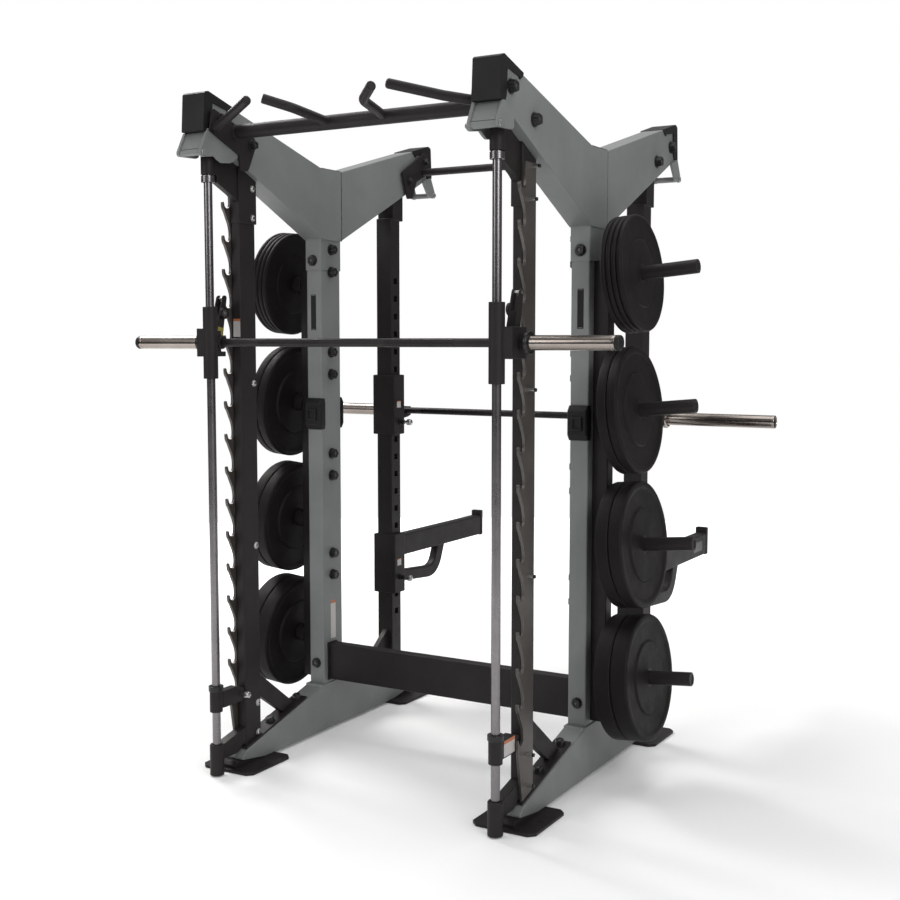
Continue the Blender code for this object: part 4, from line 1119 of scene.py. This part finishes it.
def attachment(piece, low, high, pin_z):
    """Sleeve round a rear upright, with a liner in both mouths and the barrel of its pull pin."""
    shell = prism(round_box(ATTACH_X, ATTACH_Y, 0.006), low, high, "Z", 0.0016, 2, 40)
    bore = rod((0.5, HOLE_Y, pin_z), (REAR_X[0] + 0.001, HOLE_Y, pin_z), PIN_BORE, 32, 0.0)
    piece.add("dark", carve(shell, post_room(0.0007, low, high), bore))
    mouth = (ATTACH_X[0], HOLE_Y, pin_z)
    ring = ((0, 0.0073), (0, 0.0128), (0.007, 0.0128), (0.008, 0.0116), (0.008, 0.0073))
    piece.add("gloss", lathe(ring, mouth, INWARD, 6))
    neck = (
        (0.007, PIN_BORE), (0.007, 0.0092), (BARREL - 0.001, 0.0092), (BARREL, 0.0084), (BARREL, PIN_BORE),
    )
    piece.add("gloss", lathe(neck, mouth, INWARD, 40))
    edge = round_box(*((span[0] + 0.004, span[1] - 0.004) for span in (ATTACH_X, ATTACH_Y)), 0.005)
    for bottom in (low - 0.0012, high - 0.0016):
        top = bottom + 0.0028
        liner = prism(edge, bottom, top, "Z", 0.0006, 1, 40)
        piece.add("plastic", carve(liner, post_room(0.0006, bottom, top)))


def j_hook():
    piece = Piece()
    attachment(piece, 1.187, 1.444, J_HOOK_PIN)
    seat = BARBELL_Z - 0.0143
    cup = [
        (1.211, 1.248), (1.286, 1.256), (1.312, 1.264), (1.312, 1.302), (1.298, 1.302),
        (1.293, seat + 0.008), (1.285, seat), (1.25, seat), (1.242, seat + 0.01), (1.24, 1.312),
        (1.211, 1.324),
    ]
    piece.add("dark", prism(fillet(cup, 0.004, 3), 0.552, 0.606, "X", 0.0018, 2))
    liner = [
        (1.2432, 1.308), (1.2416, 1.308), (1.241, seat + 0.008), (1.248, seat - 0.0006),
        (1.286, seat - 0.0006), (1.2938, seat + 0.006), (1.296, 1.3), (1.294, 1.3),
        (1.2918, seat + 0.008), (1.2855, seat + 0.0002), (1.249, seat + 0.0002), (1.243, seat + 0.01),
    ]
    piece.add("plastic", prism(liner, 0.5512, 0.6068, "X", 0.0003, 1))
    side_label(piece, ATTACH_X[0], LABEL_Y, (1.303, 1.328, 1.332))
    piece.pair("bar_catch", "j_hook_{}", "dark_paint", "j_hook")


def spotter_arm():
    piece = Piece()
    attachment(piece, 0.487, 0.745, SPOTTER_PIN)
    piece.add("dark", prism(round_box((0.555, 0.603), (0.638, 0.73), 0.005), 1.211, 1.97, "Y", 0.0))
    stop = round_box((0.553, 0.605), (0.634, 0.756), 0.006)
    piece.add("dark", prism(stop, 1.966, 1.986, "Y", 0.0014, 2, 40))
    # wear strip on top of the arm
    strip = round_box((0.558, 0.6), (0.729, 0.7315), 0.001, 2)
    piece.add("plastic", prism(strip, 1.21, 1.9655, "Y", 0.0003, 1))
    # brace of flat bar, which gets a little deeper towards the arm
    path = bend((0, 1.211, 0.548), (0, 1.545, 0.522), (0, 1.603, 0.66), 0.1, 12)
    above, below = [], []
    for k, point in enumerate(path):
        ahead = path[min(k + 1, len(path) - 1)] - path[max(k - 1, 0)]
        across = Vector((0, -ahead.z, ahead.y)).normalized() * (0.0255 + 0.0045 * k / len(path))
        above.append((point.y + across.y, point.z + across.z))
        below.append((point.y - across.y, point.z - across.z))
    piece.add("dark", prism(above + list(reversed(below)), 0.561, 0.597, "X", 0.006, 4, 40))
    side_label(piece, ATTACH_X[0], LABEL_Y, (0.607, 0.633, 0.637))
    # blank plate on the outer side of the arm
    piece.add("gloss", block((0.6025, 0.604), (1.8, 1.91), (0.662, 0.706), 0.0006, 2))
    piece.pair("safety_arm", "spotter_arm_{}", "dark_paint", "spotter_arm")


def barbell():
    shaft = Piece()
    axis = (BARBELL_Y, BARBELL_Z)
    end = 1.096
    shaft.add("dark", rod((-end, *axis), (end, *axis), 0.014))
    for side in (-1, 1):
        shaft.add("knurl", rod((side * 0.12, *axis), (side * 0.475, *axis), 0.01425, 48, 0.0005))
        shaft.add("gloss", disc((side * end, *axis), (side, 0, 0), 0, 0.002, 0.0125, 40, 0.0008))
    shaft.single("olympic_shaft", "barbell", "dark_paint", "barbell_shaft")
    sleeve = Piece()
    low, high = 0.655, 1.1
    long = high - low
    profile = (
        (0, 0.0146), (0, 0.033), (0.002, 0.036), (0.004, 0.038), (0.014, 0.038), (0.016, 0.036),
        (0.018, 0.03), (0.018, 0.0252), (0.02, 0.025), (long - 0.016, 0.025), (long - 0.0155, 0.0243),
        (long - 0.014, 0.0243), (long - 0.0135, 0.025), (long - 0.002, 0.025), (long, 0.0232),
        (long, 0.019), (long - 0.002, 0.018), (long - 0.002, 0.0146),
    )
    sleeve.add("chrome_x", lathe(profile, (low, *axis), OUTWARD, 64))
    sleeve.pair("olympic_sleeve", "barbell_sleeve_{}", "chrome", "barbell_sleeve")


for build in (
    column, yoke, caps, base_leg, feet, front_upright, hook_rack, guide_rod, rod_socket, rear_upright,
    lower_beam, pullup_bar, rear_crossbar, storage_post, plates, carriage, latch, smith_bar, smith_sleeve,
    rod_stop, pull_pins, j_hook, spotter_arm, barbell,
):
    build()


# ---- floor, light and camera ----
def floor():
    mesh = bpy.data.meshes.new("studio_floor")
    bm = bmesh.new()
    bmesh.ops.create_circle(bm, cap_ends=True, segments=128, radius=6.4)
    bmesh.ops.translate(bm, verts=bm.verts, vec=(0, 0, -0.0005))
    bm.to_mesh(mesh)
    bm.free()
    obj = bpy.data.objects.new("studio_floor", mesh)
    bpy.context.scene.collection.objects.link(obj)
    material, tree, shader = graph_of("studio_floor")
    cloud = spread(tree, noise(tree, 0.6, 2.0), 0.0, 1.0)
    colour = blend(tree, cloud, (0.86, 0.86, 0.86), (0.89, 0.89, 0.89))
    tree.links.new(colour, shader.inputs["Base Color"])
    # the far part of the floor glows, so that it ends in the white of the studio
    coords = add(tree, "ShaderNodeTexCoord").outputs["Object"]
    far = add(tree, "ShaderNodeVectorMath", {0: coords}, operation="LENGTH").outputs["Value"]
    glow = add(tree, "ShaderNodeMapRange", {
        "Value": far, "From Min": 1.4, "From Max": 5.2, "To Min": 0.07, "To Max": 0.85,
    }, interpolation_type="SMOOTHSTEP")
    shader.inputs["Emission Color"].default_value = (1.0, 1.0, 1.0, 1.0)
    tree.links.new(glow.outputs["Result"], shader.inputs["Emission Strength"])
    shader.inputs["Roughness"].default_value = 0.65
    shader.inputs["Specular IOR Level"].default_value = 0.2
    mesh.materials.append(material)


def area_light(name, location, target, size, power, colour=(1, 1, 1)):
    data = bpy.data.lights.new(name, "AREA")
    data.shape = "RECTANGLE"
    data.size, data.size_y = size
    data.energy = power
    data.color = colour
    obj = bpy.data.objects.new(name, data)
    bpy.context.scene.collection.objects.link(obj)
    obj.location = location
    aim = Vector(target) - Vector(location)
    obj.rotation_euler = aim.to_track_quat("-Z", "Y").to_euler()


def world():
    """White to the camera, and a soft studio of bright and grey panels to everything else."""
    sky = bpy.data.worlds.new("studio")
    bpy.context.scene.world = sky
    sky.use_nodes = True
    tree = sky.node_tree
    background = tree.nodes["Background"]
    coords = add(tree, "ShaderNodeTexCoord").outputs["Generated"]
    parts = add(tree, "ShaderNodeSeparateXYZ", {"Vector": coords})
    height = add(tree, "ShaderNodeMapRange", {
        "Value": parts.outputs["Z"], "From Min": -0.02, "From Max": 0.75, "To Min": 0.13, "To Max": 0.8,
    })
    panels = add(tree, "ShaderNodeTexNoise", {"Vector": coords, "Scale": 1.6, "Detail": 0.0})
    contrast = spread(tree, panels.outputs["Fac"], 0.35, 1.1, 0.38, 0.6)
    shade = times(tree, height.outputs["Result"], contrast)
    path = add(tree, "ShaderNodeLightPath")
    grey = add(tree, "ShaderNodeCombineColor", {"Red": shade, "Green": shade, "Blue": shade})
    seen = add(tree, "ShaderNodeMix", data_type="RGBA")
    tree.links.new(path.outputs["Is Camera Ray"], seen.inputs[0])
    tree.links.new(grey.outputs["Color"], seen.inputs[6])
    seen.inputs[7].default_value = (1.0, 1.0, 1.0, 1.0)
    tree.links.new(seen.outputs[2], background.inputs["Color"])
    background.inputs["Strength"].default_value = 1.0


def camera():
    data = bpy.data.cameras.new("camera")
    data.sensor_width = 36.0
    data.lens = 50.93
    data.clip_end = 100.0
    obj = bpy.data.objects.new("camera", data)
    bpy.context.scene.collection.objects.link(obj)
    obj.location = (2.45206, -4.43019, 1.59282)
    obj.rotation_euler = (math.radians(90 - 4.9028), 0.0, math.radians(30.0993))
    bpy.context.scene.camera = obj


floor()
world()
area_light("key", (-5.0, 1.2, 5.6), (0, 0, 0.9), (2.6, 2.6), 320, (1.0, 0.99, 0.97))
area_light("fill", (4.6, -3.2, 3.6), (0.2, 0, 1.2), (2.6, 2.6), 108, (0.97, 0.98, 1.0))
area_light("front", (-2.6, -5.0, 3.4), (0, 0, 1.2), (2.4, 2.4), 62)
area_light("top", (0.3, 0.2, 5.8), (0, 0, 0), (4.5, 4.5), 120)
camera()
bpy.context.scene.view_settings.view_transform = "Standard"
